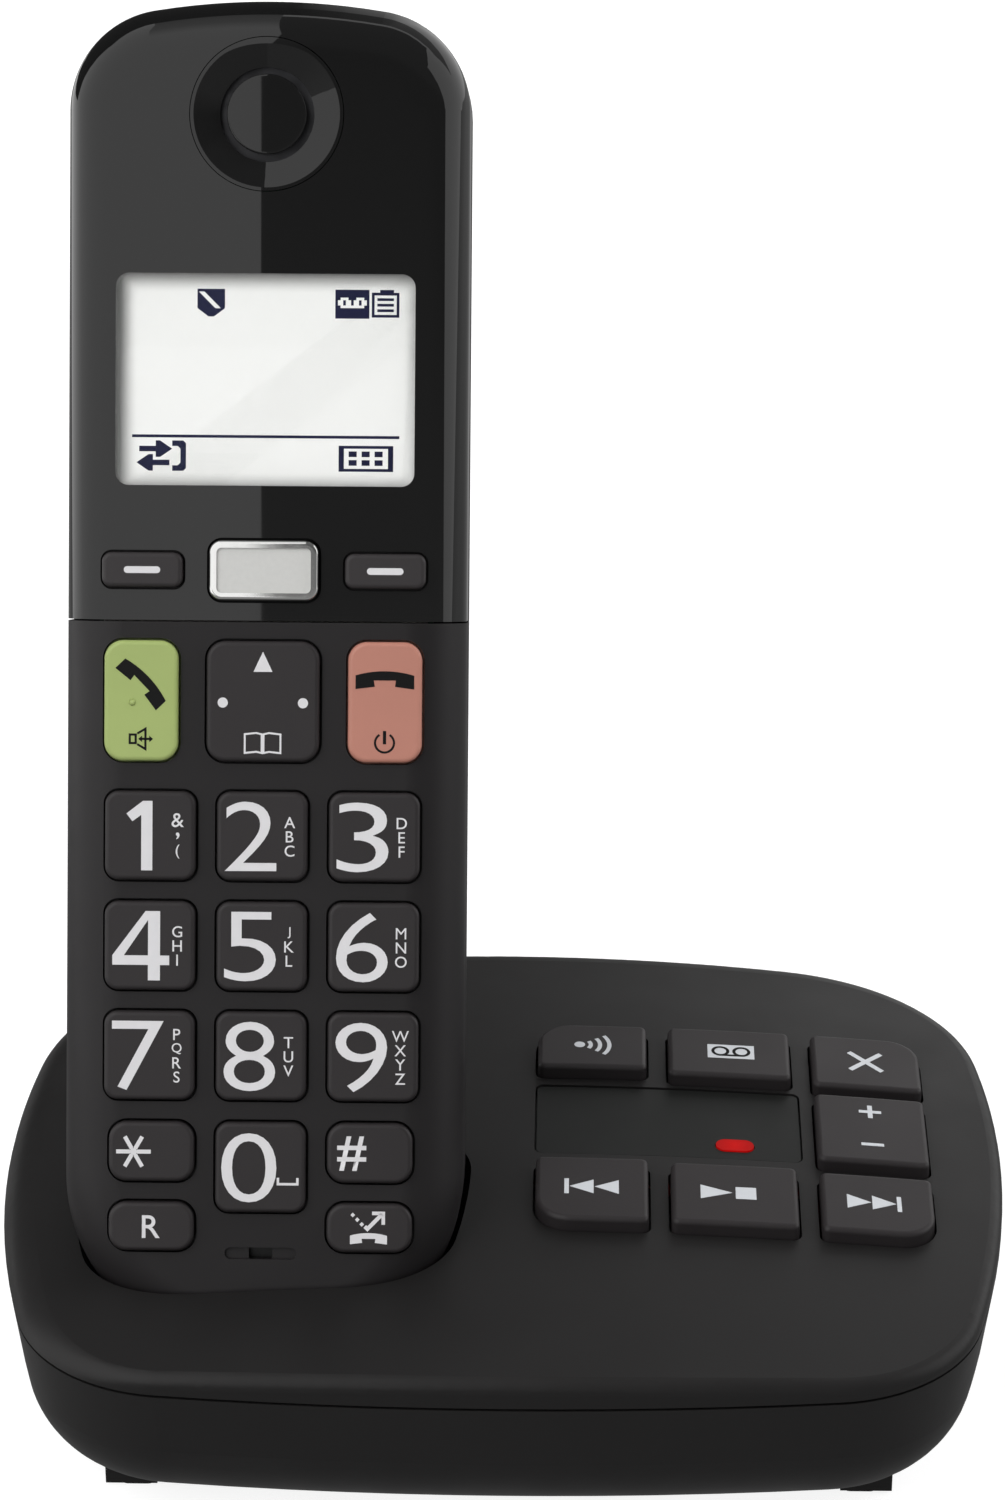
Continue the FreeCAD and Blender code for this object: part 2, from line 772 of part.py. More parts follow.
def key_prism(left, right, front, back, corners, low, high):
    """Upright prism of a base key's outline with four corner radii."""
    block = box((left, right), (front, back), (low, high))
    places = ((right, front), (right, back), (left, back), (left, front))
    for (x, y), radius in zip(places, corners):
        edge = [item for item in block.Edges if item.BoundBox.ZLength > high - low - 1e-3
                and abs(item.BoundBox.Center.x - x) < 1e-3 and abs(item.BoundBox.Center.y - y) < 1e-3]
        block = block.makeFillet(radius, edge)
    return block


def window_prism(grow, high):
    """Upright prism over the bare window."""
    width, depth = size("window_width") + 2 * grow, size("window_depth") + 2 * grow
    middle = (size("key_area_left + window_width / 2"), size("window_middle_y"))
    return slab(width, depth, size("window_corner") + grow, 0, high, middle, True)


def light_prism(grow, low, high):
    """Upright pill over the message light."""
    width = size("light_width") + 2 * grow
    middle = (size("light_x"), size("light_y"))
    return slab(size("light_length") + 2 * grow, width, width / 2, low, high, middle, True)


def base_tub():
    """Drafted tub with its lip, floor posts, foot blocks, grille and socket holes."""
    low, high = size("underside"), size("seam_height - seam_gap / 2")
    wall = size("tub_wall")
    outer = drafted_block(0, low, high, size("tub_round"))
    top = low + size("tub_round / 2")
    half_w, half_d = size("foot_width / 2"), size("foot_depth / 2")
    blocks = [box((x - half_w, x + half_w), (y - half_d, y + half_d), (size("foot_bottom"), top))
              for x, y in foot_places("foot_x")]
    inner = drafted_block(wall, low + wall, high + OVER, size("tub_round") - wall)
    tub = outer.fuse(blocks).cut(inner)
    lip_out = size("cover_wall + lip_play")
    lip = base_prism(lip_out, high - size("lip_depth"), high + size("lip_depth"))
    lip = lip.cut(base_prism(lip_out + size("lip_wall"), low, high + size("lip_depth") + OVER))
    tub = tub.fuse(lip.common(ball(-lip_out)))
    floor = low + wall
    root = floor - size("post_root")
    posts = [rod(size("post_diameter"), root, size("post_split"), x, y) for x, y in places(BASE_POSTS)]
    board_level = size("key_floor - mat_gap - base_mat - base_board")
    posts += [rod(size("board_post"), root, board_level, x, y) for x, y in board_posts()]
    pedestals = []
    for name in ("line_socket_x", "power_socket_x"):
        across = size(name)
        half = size("socket_width / 2")
        pedestals.append(box((across - half, across + half), (socket_back() - size("socket_length"),
                         socket_back()), (root, size("socket_floor"))))
    tub = tub.fuse([item.common(outer) for item in posts + pedestals])
    tools = grille_slots()
    for name in ("line_socket_x", "power_socket_x"):
        across = size(name)
        half = size("socket_width / 2") + size("lip_play")
        tools.append(box((across - half, across + half), (socket_back() - size("socket_length") - OVER, FAR),
                         (size("socket_floor"), size("socket_floor + socket_height + lip_play"))))
    for x, y in places(BASE_POSTS):
        tools.append(rod(size("screw_shank + 2 * screw_play"), 0, size("post_split") + OVER, x, y))
        tools.append(rod(size("screw_head + 2 * screw_play"), 0, low + size("screw_head_height"), x, y))
    tools += foot_pads()
    return tub.cut(tools).removeSplitter()


def foot_places(across):
    """Middles of the four feet, or of their pads."""
    return [(side * size(across), size(along)) for along in ("front_foot_y", "rear_foot_y")
            for side in (-1, 1)]


def foot_pads():
    """Rubber pads, from the table into the foot blocks."""
    return [slab(size("foot_pad_width"), size("foot_pad_depth"), size("foot_pad_corner"), 0,
                 size("foot_pad_height"), place, True) for place in foot_places("foot_pad_x")]


def grille_slots():
    """Slots through the floor of the tub under the loudspeaker, inside a circle."""
    radius = size("grille_diameter / 2")
    pitch, width = size("grille_pitch"), size("grille_slot")
    count = int(radius // pitch)
    slots = []
    for step in range(-count, count + 1):
        offset = step * pitch
        half = math.sqrt(radius ** 2 - offset ** 2)
        x, y = size("speaker_x"), size("speaker_y") + offset
        slots.append(box((x - half, x + half), (y - width / 2, y + width / 2),
                         (0, size("underside + tub_wall") + OVER)))
    return slots


def tub_inset(level):
    """How far the tub's outer surface lies inside the seam outline at a height."""
    rounding = size("tub_round")
    rise = min(level - size("underside"), rounding)
    under = rounding - math.sqrt(rounding ** 2 - (rounding - rise) ** 2)
    return under + math.tan(math.radians(size("tub_draft"))) * (size("seam_height") - level)


def socket_back():
    """Place of the sockets' faces, a little inside the rear wall."""
    across = max(abs(size("line_socket_x")), abs(size("power_socket_x"))) + size("socket_width / 2")
    bow = size("end_arc") - math.sqrt(size("end_arc") ** 2 - across ** 2)
    return size("base_rear - socket_sunk") - bow - tub_inset(size("socket_floor"))


def cradle_well():
    """Liner under the cradle's mouth, on two legs, with slots for the charging springs."""
    play, wall = size("cradle_play"), size("well_wall")
    floor = size("underside + tub_wall")
    outer = cradle_form(play + wall)
    legs = []
    for side in (-1, 1):
        x = size("handset_x") + side * size("leg_spread / 2")
        half = size("leg_width / 2")
        y = lowest_place()
        legs.append(box((x - half, x + half), (y - half, y + half), (floor, floor + size("leg_height"))))
    well = outer.fuse(legs).cut(cradle_form(play)).common(ball(-size("cover_wall")))
    slots = []
    for side in (-1, 1):
        half = size("spring_width / 2 + spring_play")
        across, along = side * size("contact_column"), size("contact_along")
        slot = box((across - half, across + half), (size("handset_depth"), size("handset_depth") + FAR),
                   (along - half, along + half))
        slot.Placement = handset_place() * slot.Placement
        slots.append(slot)
    return well.cut(slots).removeSplitter()


def lowest_place():
    """Y of the handset's lowest line, where its end turns into its back."""
    depth = size("handset_depth - edge_round")
    lean = math.radians(size("lean"))
    return size("seat_y") + depth * math.cos(lean) + size("edge_round") * math.sin(lean)


def window_panel():
    """Thin crowned plate in its recess in the cover."""
    high = size("crown_height")
    plate = window_prism(0, high).common(ball(-size("window_sunk")))
    plate = plate.cut(ball(-size("window_sunk + window_thickness")))
    return plate.cut(light_prism(size("light_play"), 0, high))


def message_light():
    """Light pipe from the board to the surface of the window."""
    board_top = size("key_floor - mat_gap - base_mat")
    return light_prism(0, board_top, size("crown_height")).common(ball(0))


# ---------------------------------------------------------------- base keys and inner parts

def base_key(name):
    """Key with a flange under the cover and a top that follows the crown."""
    left, width, front, back, corners = BASE_KEYS[name]
    depth = f"({back} - {front})"
    blank = doc.addObject("PartDesign::Body", name + "_blank")
    outline = rounded_rectangle(blank, name + "_outline", "XY_Plane", width, depth, corners, "key_floor")
    pad(blank, name + "_stem", outline, "crown_height + key_rise - key_floor")
    flange_top = key_flange_top(name)
    spread = [f"{corner} + flange_width" for corner in corners]
    skirt = rounded_rectangle(blank, name + "_skirt", "XY_Plane", f"{width} + 2 * flange_width",
                              f"{depth} + 2 * flange_width", spread, f"{flange_top} - flange_height")
    pad(blank, name + "_flange", skirt, "flange_height")
    on_base(blank, f"{left} + {width} / 2", f"({back} + {front}) / 2")
    crowned = doc.addObject("Part::Common", name + "_crowned")
    crowned.Base = blank
    crowned.Tool = key_crown
    doc.recompute()
    rounded = doc.addObject("Part::Fillet", name)
    rounded.Base = crowned
    radius = size("key_round")
    rounded.Edges = [(number, radius, radius) for number in crown_edges(crowned.Shape, size("key_rise"))]
    return node(rounded, name)


def crown_edges(shape, offset):
    """Numbers of the edges that lie on the crown, moved out by an offset."""
    found = []
    for number, edge in enumerate(shape.Edges, 1):
        middle = edge.valueAt((edge.FirstParameter + edge.LastParameter) / 2)
        if abs(middle.z - crown_at(middle.x, middle.y, offset)) < 1e-2:
            found.append(number)
    return found


def base_board_stack():
    """Circuit board under the keys, on its posts, and the rubber key mat on it."""
    middle_x, middle_y = KEY_MIDDLE, "0"
    board = new_body("base_board")
    outline = rounded_rectangle(board, "base_board_outline", "XY_Plane", "base_board_width",
                                "base_board_depth", "base_board_corner")
    pad(board, "base_board_pad", outline, "base_board")
    on_base(board, middle_x, middle_y, "key_floor - mat_gap - base_mat - base_board")
    mat = new_body("base_key_mat")
    outline = rounded_rectangle(mat, "base_mat_outline", "XY_Plane", "base_board_width - 2 * mat_margin",
                                "base_board_depth - 2 * mat_margin", "base_board_corner - mat_margin")
    pad(mat, "base_mat_pad", outline, "base_mat")
    hole = rounded_rectangle(mat, "base_mat_window", "XY_Plane", "light_length + mat_margin",
                             "light_width + mat_margin", "light_width / 2", "base_mat")
    hole_x, hole_y = f"light_x - ({middle_x})", f"light_y - {middle_y}"
    bind(hole, "AttachmentOffset.Base.x", hole_x)
    bind(hole, "AttachmentOffset.Base.y", hole_y)
    pocket(mat, "base_mat_cut", hole, "base_mat")
    on_base(mat, middle_x, middle_y, "key_floor - mat_gap - base_mat")


def loudspeaker():
    """Loudspeaker that faces down onto the grille: a basket and its magnet."""
    speaker = new_body("loudspeaker")
    basket = circles(speaker, "speaker_basket", "XY_Plane", "speaker_diameter")
    pad(speaker, "speaker_rim", basket, "speaker_rim_height")
    throat = circles(speaker, "speaker_throat", "XY_Plane", "speaker_throat", lift="speaker_rim_height")
    pad(speaker, "speaker_cone", throat, "speaker_throat_height")
    drum_level = "speaker_rim_height + speaker_throat_height"
    magnet = circles(speaker, "speaker_magnet", "XY_Plane", "speaker_magnet", lift=drum_level)
    pad(speaker, "speaker_back", magnet, f"speaker_height - ({drum_level})")
    on_base(speaker, "speaker_x", "speaker_y", "underside + tub_wall")


def socket(name, across, catch):
    """Modular socket behind the rear wall, open to the back, with a step for the plug's catch."""
    back = socket_back()
    body = new_body(name)
    outline = rounded_rectangle(body, name + "_outline", "XZ_Plane", "socket_width", "socket_height",
                                "socket_corner")
    pad(body, name + "_block", outline, "socket_length")
    mouth = rounded_rectangle(body, name + "_mouth", "XZ_Plane", "socket_mouth_width",
                              "socket_mouth_height", "socket_mouth_corner")
    pocket(body, name + "_hollow", mouth, "socket_mouth_depth", True)
    step = rounded_rectangle(body, name + "_step", "XZ_Plane", catch, "catch_height", "catch_corner")
    bind(step, "AttachmentOffset.Base.y", "-socket_mouth_height / 2 - catch_corner")
    pocket(body, name + "_slot", step, "socket_mouth_depth", True)
    on_base(body, across, f"{back}", "socket_floor + socket_height / 2")


def ballast():
    """Steel weight on the floor behind the cradle."""
    weight = new_body("ballast_plate")
    outline = rounded_rectangle(weight, "ballast_outline", "XY_Plane", "ballast_width", "ballast_depth",
                                "ballast_corner")
    pad(weight, "ballast_pad", outline, "ballast_height")
    on_base(weight, "ballast_x", "ballast_y", "underside + tub_wall")


def feet():
    """Four rubber pads in the foot blocks, as one node."""
    return feature("rubber_feet", Part.makeCompound(foot_pads()))


def base_screws():
    """Four screws from below, through the tub's posts into the cover's."""
    screws = []
    for x, y in places(BASE_POSTS):
        seat = size("underside + screw_head_height")
        low = size("underside + screw_sunk")
        head = rod(size("screw_head"), low, seat, x, y)
        shank = rod(size("screw_shank"), seat, seat + size("screw_length"), x, y)
        long, wide = size("cross_length / 2"), size("cross_width / 2")
        depth = (low - OVER, low + size("cross_depth"))
        cross = [box((x - a, x + a), (y - b, y + b), depth) for a, b in ((long, wide), (wide, long))]
        screws.append(head.fuse(shank).cut(cross))
    return feature("base_screws", Part.makeCompound(screws))


def charge_springs():
    """Two sprung contacts that reach through the well's rear wall to the handset."""
    springs = []
    gap, depth = size("spring_gap"), size("handset_depth")
    seat = depth + size("cradle_play + well_wall")
    for side in (-1, 1):
        across, along = side * size("contact_column"), size("contact_along")
        half, foot = size("spring_width / 2"), size("spring_foot / 2")
        blade = box((across - half, across + half), (depth + gap, seat), (along - half, along + half))
        base = box((across - foot, across + foot), (seat, seat + size("spring_foot_height")),
                   (along - foot, along + foot))
        springs.append(blade.fuse(base).removeSplitter())
    return on_handset(feature("charge_springs", Part.makeCompound(springs)))


# ---------------------------------------------------------------- handset housing

def key_cuts():
    """Holes for the handset keys and seats for their flanges."""
    tools = []
    play, flange = size("pad_play"), size("pad_flange + pad_play")
    for across, along, width, height, corner in HANDSET_KEYS.values():
        middle = (size(across), size(along))
        tools.append(slab(size(width) + 2 * play, size(height) + 2 * play, size(corner) + play,
                          -OVER, size("board_front"), middle, False))
        tools.append(slab(size(width) + 2 * flange, size(height) + 2 * flange, size(corner) + flange,
                          size("pad_flange_front - pad_flange_gap"), size("board_front"), middle, False))
    return tools


def fixing_pins(diameter, front, back):
    return [pin(diameter, front, back, side * across, along) for across, along in places(FIXINGS)
            for side in (-1, 1)]


def front_half():
    """Front half of the handset's shell with the bosses for its screws."""
    shell = handset_form(0).cut(handset_form(-size("shell_wall")))
    front = shell.common(box((-FAR, FAR), (-FAR, size("shell_split - split_gap / 2")), (-FAR, FAR)))
    bosses = fixing_pins(size("fixing_post"), size("shell_wall - boss_root"), size("board_front"))
    inner = handset_form(-size("boss_root"))
    front = front.fuse([boss.common(inner) for boss in bosses])
    return front.cut(fixing_pins(size("fixing_shank + 2 * screw_play"), size("fixing_tip - screw_play"), FAR))


def front_cover():
    """Matt lower part of the front, with the number keys' holes and the microphone slot."""
    cover = front_half().common(box((-FAR, FAR), (-FAR, FAR), (-FAR, size("plate_seam - split_gap / 2"))))
    along = size("mic_along")
    tools = key_cuts()
    tools.append(slab(size("mic_slot_width"), size("mic_slot_height"), size("mic_slot_height / 2"), -OVER,
                      size("mic_slot_depth"), (0, along), False))
    tools.append(slab(size("mic_hole_width"), size("mic_slot_height"), size("mic_hole_corner"), -OVER,
                      size("mic_front"), (0, along), False))
    tools.append(pin(size("mic_diameter + 2 * mic_play"), size("mic_front - mic_play"), size("board_front"),
                     0, along))
    return cover.cut(tools).removeSplitter()


def faceplate():
    """Gloss upper part of the front, with the display window and the earpiece hole."""
    plate = front_half().common(box((-FAR, FAR), (-FAR, FAR), (size("plate_seam + split_gap / 2"), FAR)))
    tools = key_cuts()
    play = size("lens_play")
    middle = (0, size("lens_along"))
    tools.append(slab(size("lens_width") + 2 * play, size("lens_height") + 2 * play,
                      size("lens_corner") + play, -OVER, size("board_front"), middle, False))
    play = size("display_play")
    front = size("lens_sunk + lens_thickness")
    tools.append(slab(size("display_width") + 2 * play, size("display_height") + 2 * play,
                      size("display_corner") + play, front - size("display_front_gap"), size("board_front"),
                      middle, False))
    tools.append(pin(size("ear_dish"), -OVER, size("board_front"), 0, size("ear_along")))
    return plate.cut(tools).removeSplitter()


def back_cover():
    """Back of the handset: battery bay, door opening, screw posts, ringer slots, contact seats."""
    depth, wall = size("handset_depth"), size("shell_wall")
    inside = depth - wall
    shell = handset_form(0).cut(handset_form(-wall))
    back = shell.common(box((-FAR, FAR), (size("shell_split + split_gap / 2"), FAR), (-FAR, FAR)))
    middle = size("bay_middle")
    half_w, half_h = bay_half_width(), bay_half_length()
    bay_wall, bay_front = size("bay_wall"), bay_floor() - size("bay_wall")
    door_w, door_h = size("door_width / 2 + door_play"), size("door_height / 2 + door_play")
    bay = box((-half_w - bay_wall, half_w + bay_wall), (bay_front, inside),
              (middle - half_h - bay_wall, middle + half_h + bay_wall))
    rim = size("ledge_width")
    ledge = box((-door_w - rim, door_w + rim), (inside - size("ledge_height"), inside + size("boss_root")),
                (middle - door_h - rim, middle + door_h + rim))
    posts = fixing_pins(size("fixing_post"), size("board_front + board_thickness"), depth)
    inner = handset_form(-size("boss_root"))
    back = back.fuse([item.common(inner) for item in posts + [bay, ledge]])
    tools = [
        slab(2 * door_w, 2 * door_h, size("door_corner + door_play"), door_seat(), depth + OVER,
             (0, middle), False),
        box((-half_w, half_w), (bay_floor(), depth), (middle - half_h, middle + half_h)),
    ]
    head = depth - size("fixing_sunk + fixing_head_height")
    tools += fixing_pins(size("fixing_shank + 2 * screw_play"), 0, depth + OVER)
    tools += fixing_pins(size("fixing_head + 2 * screw_play"), head, depth + OVER)
    for step in range(RINGER_SLOTS):
        offset = (step - (RINGER_SLOTS - 1) / 2) * size("ringer_pitch")
        reach = math.sqrt(size("ringer_diameter / 2 - ringer_edge") ** 2 - offset ** 2)
        tools.append(slab(2 * reach, size("ringer_slot"), size("ringer_slot / 2"), inside - OVER,
                          depth + OVER, (0, size("ringer_along") + offset), False))
    contact = size("contact_size / 2")
    for side in (-1, 1):
        across, along = side * size("contact_column"), size("contact_along")
        tools.append(box((across - contact, across + contact), (depth - size("contact_thickness"), FAR),
                         (along - contact, along + contact)))
    return back.cut(tools).removeSplitter()


def bay_half_width():
    return size("(cell_spacing + cell_diameter) / 2 + bay_play")


def bay_half_length():
    return size("cell_length / 2 + bay_contact + 2 * screw_play")


def door_seat():
    """Depth at which the battery door rests on its ledge."""
    return size("handset_depth - door_thickness - door_play")


def bay_floor():
    """Depth of the floor under the batteries."""
    return door_seat() - size("cell_diameter + 2 * bay_play")


def battery_door():
    """Flush door over the batteries, with thumb ribs; it follows the back's rounded edge."""
    depth = size("handset_depth")
    middle = (0, size("bay_middle"))
    door = slab(size("door_width"), size("door_height"), size("door_corner"), depth - size("door_thickness"),
                depth + OVER, middle, False).common(handset_form(0))
    grooves, width = [], size("rib_width")
    for step in range(THUMB_RIBS):
        along = size("bay_middle + door_height / 2 - rib_start") - step * size("rib_pitch")
        grooves.append(slab(size("rib_length"), width, width / 2, depth - size("rib_depth"), depth + OVER,
                            (0, along), False))
    return door.cut(grooves)


# ---------------------------------------------------------------- handset keys and inner parts

def handset_key(name):
    """Key that stands proud of the face, with a flange behind the cover and a stem to the mat."""
    across, along, width, height, corner = HANDSET_KEYS[name]
    key = new_body(name)
    outline = rounded_rectangle(key, name + "_outline", "XZ_Plane", width, height, corner, "-pad_stem")
    top = pad(key, name + "_top", outline, "pad_stem + pad_rise")
    rim = round_rim(key, name + "_rim", top, "Y", -size("pad_rise"), "pad_round")
    skirt = rounded_rectangle(key, name + "_skirt", "XZ_Plane", f"{width} + 2 * pad_flange",
                              f"{height} + 2 * pad_flange", f"{corner} + pad_flange",
                              "-pad_flange_front - pad_flange_height")
    flange = pad(key, name + "_flange", skirt, "pad_flange_height")
    if name == "menu_key_frame":
        menu_frame_hole(key, flange)
    on_handset(key, across, "0", along)
    return rim


def menu_frame_hole(key, flange):
    """Seat of the silver centre in the bright frame."""
    seat = rounded_rectangle(key, "menu_seat", "XZ_Plane", "menu_width - 2 * menu_frame",
                             "menu_height - 2 * menu_frame", "menu_corner - menu_frame", "pad_rise")
    pocket(key, "menu_seat_cut", seat, "pad_rise + menu_depth")
    return flange


def menu_cap():
    """Silver centre of the menu key, seated in its frame."""
    cap = new_body("menu_key_cap")
    outline = rounded_rectangle(cap, "menu_cap_outline", "XZ_Plane", "menu_width - 2 * menu_frame",
                                "menu_height - 2 * menu_frame", "menu_corner - menu_frame", "-menu_depth")
    pad(cap, "menu_cap_pad", outline, "menu_depth + pad_rise - menu_sunk")
    on_handset(cap, "0", "0", "soft_along")


def display_parts():
    """Clear lens in the faceplate and the display module behind it, on the board."""
    lens = new_body("display_lens")
    outline = rounded_rectangle(lens, "lens_outline", "XZ_Plane", "lens_width", "lens_height",
                                "lens_corner", "-lens_sunk - lens_thickness")
    pad(lens, "lens_pad", outline, "lens_thickness")
    on_handset(lens, "0", "0", "lens_along")
    module = new_body("display_module")
    outline = rounded_rectangle(module, "display_outline", "XZ_Plane", "display_width", "display_height",
                                "display_corner", "-board_front")
    pad(module, "display_pad", outline, "board_front - lens_sunk - lens_thickness")
    on_handset(module, "0", "0", "lens_along")


def ear_dish():
    """Shallow conical dish around the earpiece; its outer rim follows the faceplate."""
    outer, hole = size("ear_dish / 2 - screw_play"), size("ear_hole / 2")
    sink, floor = size("ear_sink"), size("ear_floor")
    reach = outer - size("ear_rim")
    slope = (reach - hole) / sink
    back = Vector(0, 1, 0)
    start = back * -OVER
    blank = Part.makeCylinder(outer, OVER + sink + floor, start, back)
    cone = Part.makeCone(reach + slope * OVER, hole, OVER + sink, start, back)
    bore = Part.makeCylinder(hole, OVER + sink + 2 * floor, start, back)
    dish = blank.cut([cone, bore])
    dish.translate(Vector(0, 0, size("ear_along")))
    return dish.common(handset_form(0))


def ear_parts():
    """Round cap in the middle of the dish and the receiver capsule behind it, on the board."""
    cap = new_body("earpiece_cap")
    rim = circles(cap, "ear_cap_circle", "XZ_Plane", "ear_cap", lift="-ear_sink - ear_floor - ear_gap")
    top = pad(cap, "ear_cap_pad", rim, "ear_sink + ear_floor + ear_gap - ear_cap_sunk")
    round_rim(cap, "ear_cap_rim", top, "Y", size("ear_cap_sunk"), "ear_cap_round")
    on_handset(cap, "0", "0", "ear_along")
    receiver = new_body("receiver_capsule")
    drum = circles(receiver, "receiver_circle", "XZ_Plane", "receiver_diameter", lift="-board_front")
    pad(receiver, "receiver_pad", drum, "board_front - ear_sink - ear_floor - ear_gap")
    on_handset(receiver, "0", "0", "ear_along")


def microphone():
    capsule = new_body("microphone")
    drum = circles(capsule, "mic_circle", "XZ_Plane", "mic_diameter", lift="-board_front")
    pad(capsule, "mic_pad", drum, "board_front - mic_front")
    on_handset(capsule, "0", "0", "mic_along")


def handset_board():
    """Long circuit board, with clearance holes for the screws."""
    board = new_body("handset_board")
    outline = rounded_rectangle(board, "handset_board_outline", "XZ_Plane", "board_width",
                                "board_end - board_start", "board_corner")
    pad(board, "handset_board_pad", outline, "board_thickness")
    middle = "(board_start + board_end) / 2"
    centres = []
    for across, along in FIXINGS:
        for side in (-1, 1):
            centres.append((f"{side} * {across}", f"{along} - {middle}"))
    holes = circles(board, "handset_board_holes", "XZ_Plane",
                    "fixing_shank + 2 * board_hole_play", centres, "board_thickness")
    pocket(board, "handset_board_cut", holes, "board_thickness")
    on_handset(board, "0", "board_front + board_thickness", middle)


def handset_mat():
    """Rubber key mat on the board, notched for the microphone."""
    mat = new_body("handset_key_mat")
    outline = rounded_rectangle(mat, "handset_mat_outline", "XZ_Plane", "pad_mat_width",
                                "pad_mat_end - pad_mat_start", "pad_mat_corner")
    pad(mat, "handset_mat_pad", outline, "pad_mat")
    middle = "(pad_mat_start + pad_mat_end) / 2"
    notch = circles(mat, "handset_mat_notch", "XZ_Plane", "mic_diameter + 2 * mic_notch_play",
                    (("0", f"mic_along - {middle}"),), "pad_mat")
    pocket(mat, "handset_mat_cut", notch, "pad_mat")
    on_handset(mat, "0", "board_front", middle)


def battery(number, side):
    """Rechargeable cell along the handset, with its nub."""
    cell_body = new_body(f"battery_{number}")
    can = circles(cell_body, f"cell_can_{number}", "XY_Plane", "cell_diameter")
    pad(cell_body, f"cell_pad_{number}", can, "cell_length - cell_nub_length")
    nub = circles(cell_body, f"cell_tip_{number}", "XY_Plane", "cell_nub",
                  lift="cell_length - cell_nub_length")
    pad(cell_body, f"cell_tip_pad_{number}", nub, "cell_nub_length")
    axis_depth = door_seat() - size("cell_diameter / 2 + bay_play")
    on_handset(cell_body, f"{side} * cell_spacing / 2", f"{axis_depth}", "bay_middle - cell_length / 2")


def battery_contacts():
    """Sprung plates at both ends of each cell."""
    plates = []
    half = size("contact_plate / 2")
    axis_depth = door_seat() - size("cell_diameter / 2 + bay_play")
    for side in (-1, 1):
        across = side * size("cell_spacing / 2")
        for end in (-1, 1):
            inner = size("bay_middle") + end * (size("cell_length / 2") + size("screw_play"))
            outer = inner + end * size("bay_contact")
            plates.append(box((across - half, across + half), (axis_depth - half, axis_depth + half),
                              (min(inner, outer), max(inner, outer))))
    return on_handset(feature("battery_contacts", Part.makeCompound(plates)))


def ringer():
    """Hands-free loudspeaker against the slots in the back."""
    speaker = new_body("ringer_speaker")
    back = "handset_depth - shell_wall"
    drum = circles(speaker, "ringer_drum", "XZ_Plane", "ringer_diameter")
    pad(speaker, "ringer_pad", drum, "ringer_rim_height")
    magnet = circles(speaker, "ringer_magnet", "XZ_Plane", "ringer_magnet", lift="ringer_rim_height")
    pad(speaker, "ringer_back", magnet, "ringer_height - ringer_rim_height")
    on_handset(speaker, "0", back, "ringer_along")


def charge_pads():
    """Two flat contacts in the back of the handset's lower end."""
    pads = []
    depth, half = size("handset_depth"), size("contact_size / 2")
    for side in (-1, 1):
        across, along = side * size("contact_column"), size("contact_along")
        plate = box((across - half, across + half), (depth - size("contact_thickness"), depth + OVER),
                    (along - half, along + half))
        pads.append(plate.common(handset_form(0)))
    return on_handset(feature("charge_pads", Part.makeCompound(pads)))


def handset_screws():
    """Six screws from the back through the posts and the board into the front."""
    screws = []
    seat = size("handset_depth - fixing_sunk - fixing_head_height")
    for across, along in places(FIXINGS):
        for side in (-1, 1):
            x = side * across
            head = pin(size("fixing_head"), seat, seat + size("fixing_head_height"), x, along)
            shank = pin(size("fixing_shank"), size("fixing_tip"), seat, x, along)
            top = seat + size("fixing_head_height")
            long, wide = size("small_cross_length / 2"), size("small_cross_width / 2")
            depth = (top - size("small_cross_depth"), top + OVER)
            cross = [box((x - a, x + a), depth, (along - b, along + b))
                     for a, b in ((long, wide), (wide, long))]
            screws.append(head.fuse(shank).cut(cross))
    return on_handset(feature("handset_screws", Part.makeCompound(screws)))


# ---------------------------------------------------------------- build and export

key_crown = doc.addObject("Part::Sphere", "key_crown")
bind(key_crown, "Radius", "crown_radius + key_rise")
key_crown.Placement = Placement(Vector(), Rotation(Vector(0, 1, 0), 90))
on_base(key_crown, "0", "crown_back", "crown_height - crown_radius")

feature("base_cover", base_cover())
feature("base_tub", base_tub())
feature("cradle_well", cradle_well())
feature("window_panel", window_panel())
feature("message_light", message_light())
for key_name in BASE_KEYS:
    base_key(key_name)
base_board_stack()
loudspeaker()
socket("line_socket", "line_socket_x", "line_catch")
socket("power_socket", "power_socket_x", "power_catch")
ballast()
feet()
base_screws()
charge_springs()

on_handset(feature("front_cover", front_cover()))
on_handset(feature("faceplate", faceplate()))
on_handset(feature("back_cover", back_cover()))
on_handset(feature("battery_door", battery_door()))
for key_name in HANDSET_KEYS:
    handset_key(key_name)
menu_cap()
display_parts()
on_handset(feature("earpiece_dish", ear_dish()))
ear_parts()
microphone()
handset_board()
handset_mat()
battery(1, -1)
battery(2, 1)
battery_contacts()
ringer()
charge_pads()
handset_screws()

doc.recompute()
for item in doc.Objects:
    if "Invalid" in item.State or "Error" in item.State:
        raise RuntimeError(f"{item.Label} is {item.State}")
os.makedirs("parts", exist_ok=True)
for item in NODES:
    if item.Shape.isNull() or not item.Shape.isValid() or not item.Shape.Solids:
        raise RuntimeError(f"{item.Label} has no valid solid")
    item.Shape.exportStep(f"parts/{item.Label}.step")
    print(f"{item.Label}: {len(item.Shape.Solids)} solids, {item.Shape.Volume / 1000:.2f} cm3")
print(f"{len(NODES)} nodes")
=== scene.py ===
"""Looks of a telephone answering machine with its big-key cordless handset.

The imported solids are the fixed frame. This script gives every solid its finish, adds the printed
marks of the keys and the signs of the display, and sets the floor, the lamps and the camera.
All sizes named *_mm are millimetres of the real object.
"""
import json
import logging
import math
from dataclasses import dataclass, field
from enum import Enum

import bmesh
import bpy
from mathutils import Matrix, Vector
from mathutils.bvhtree import BVHTree

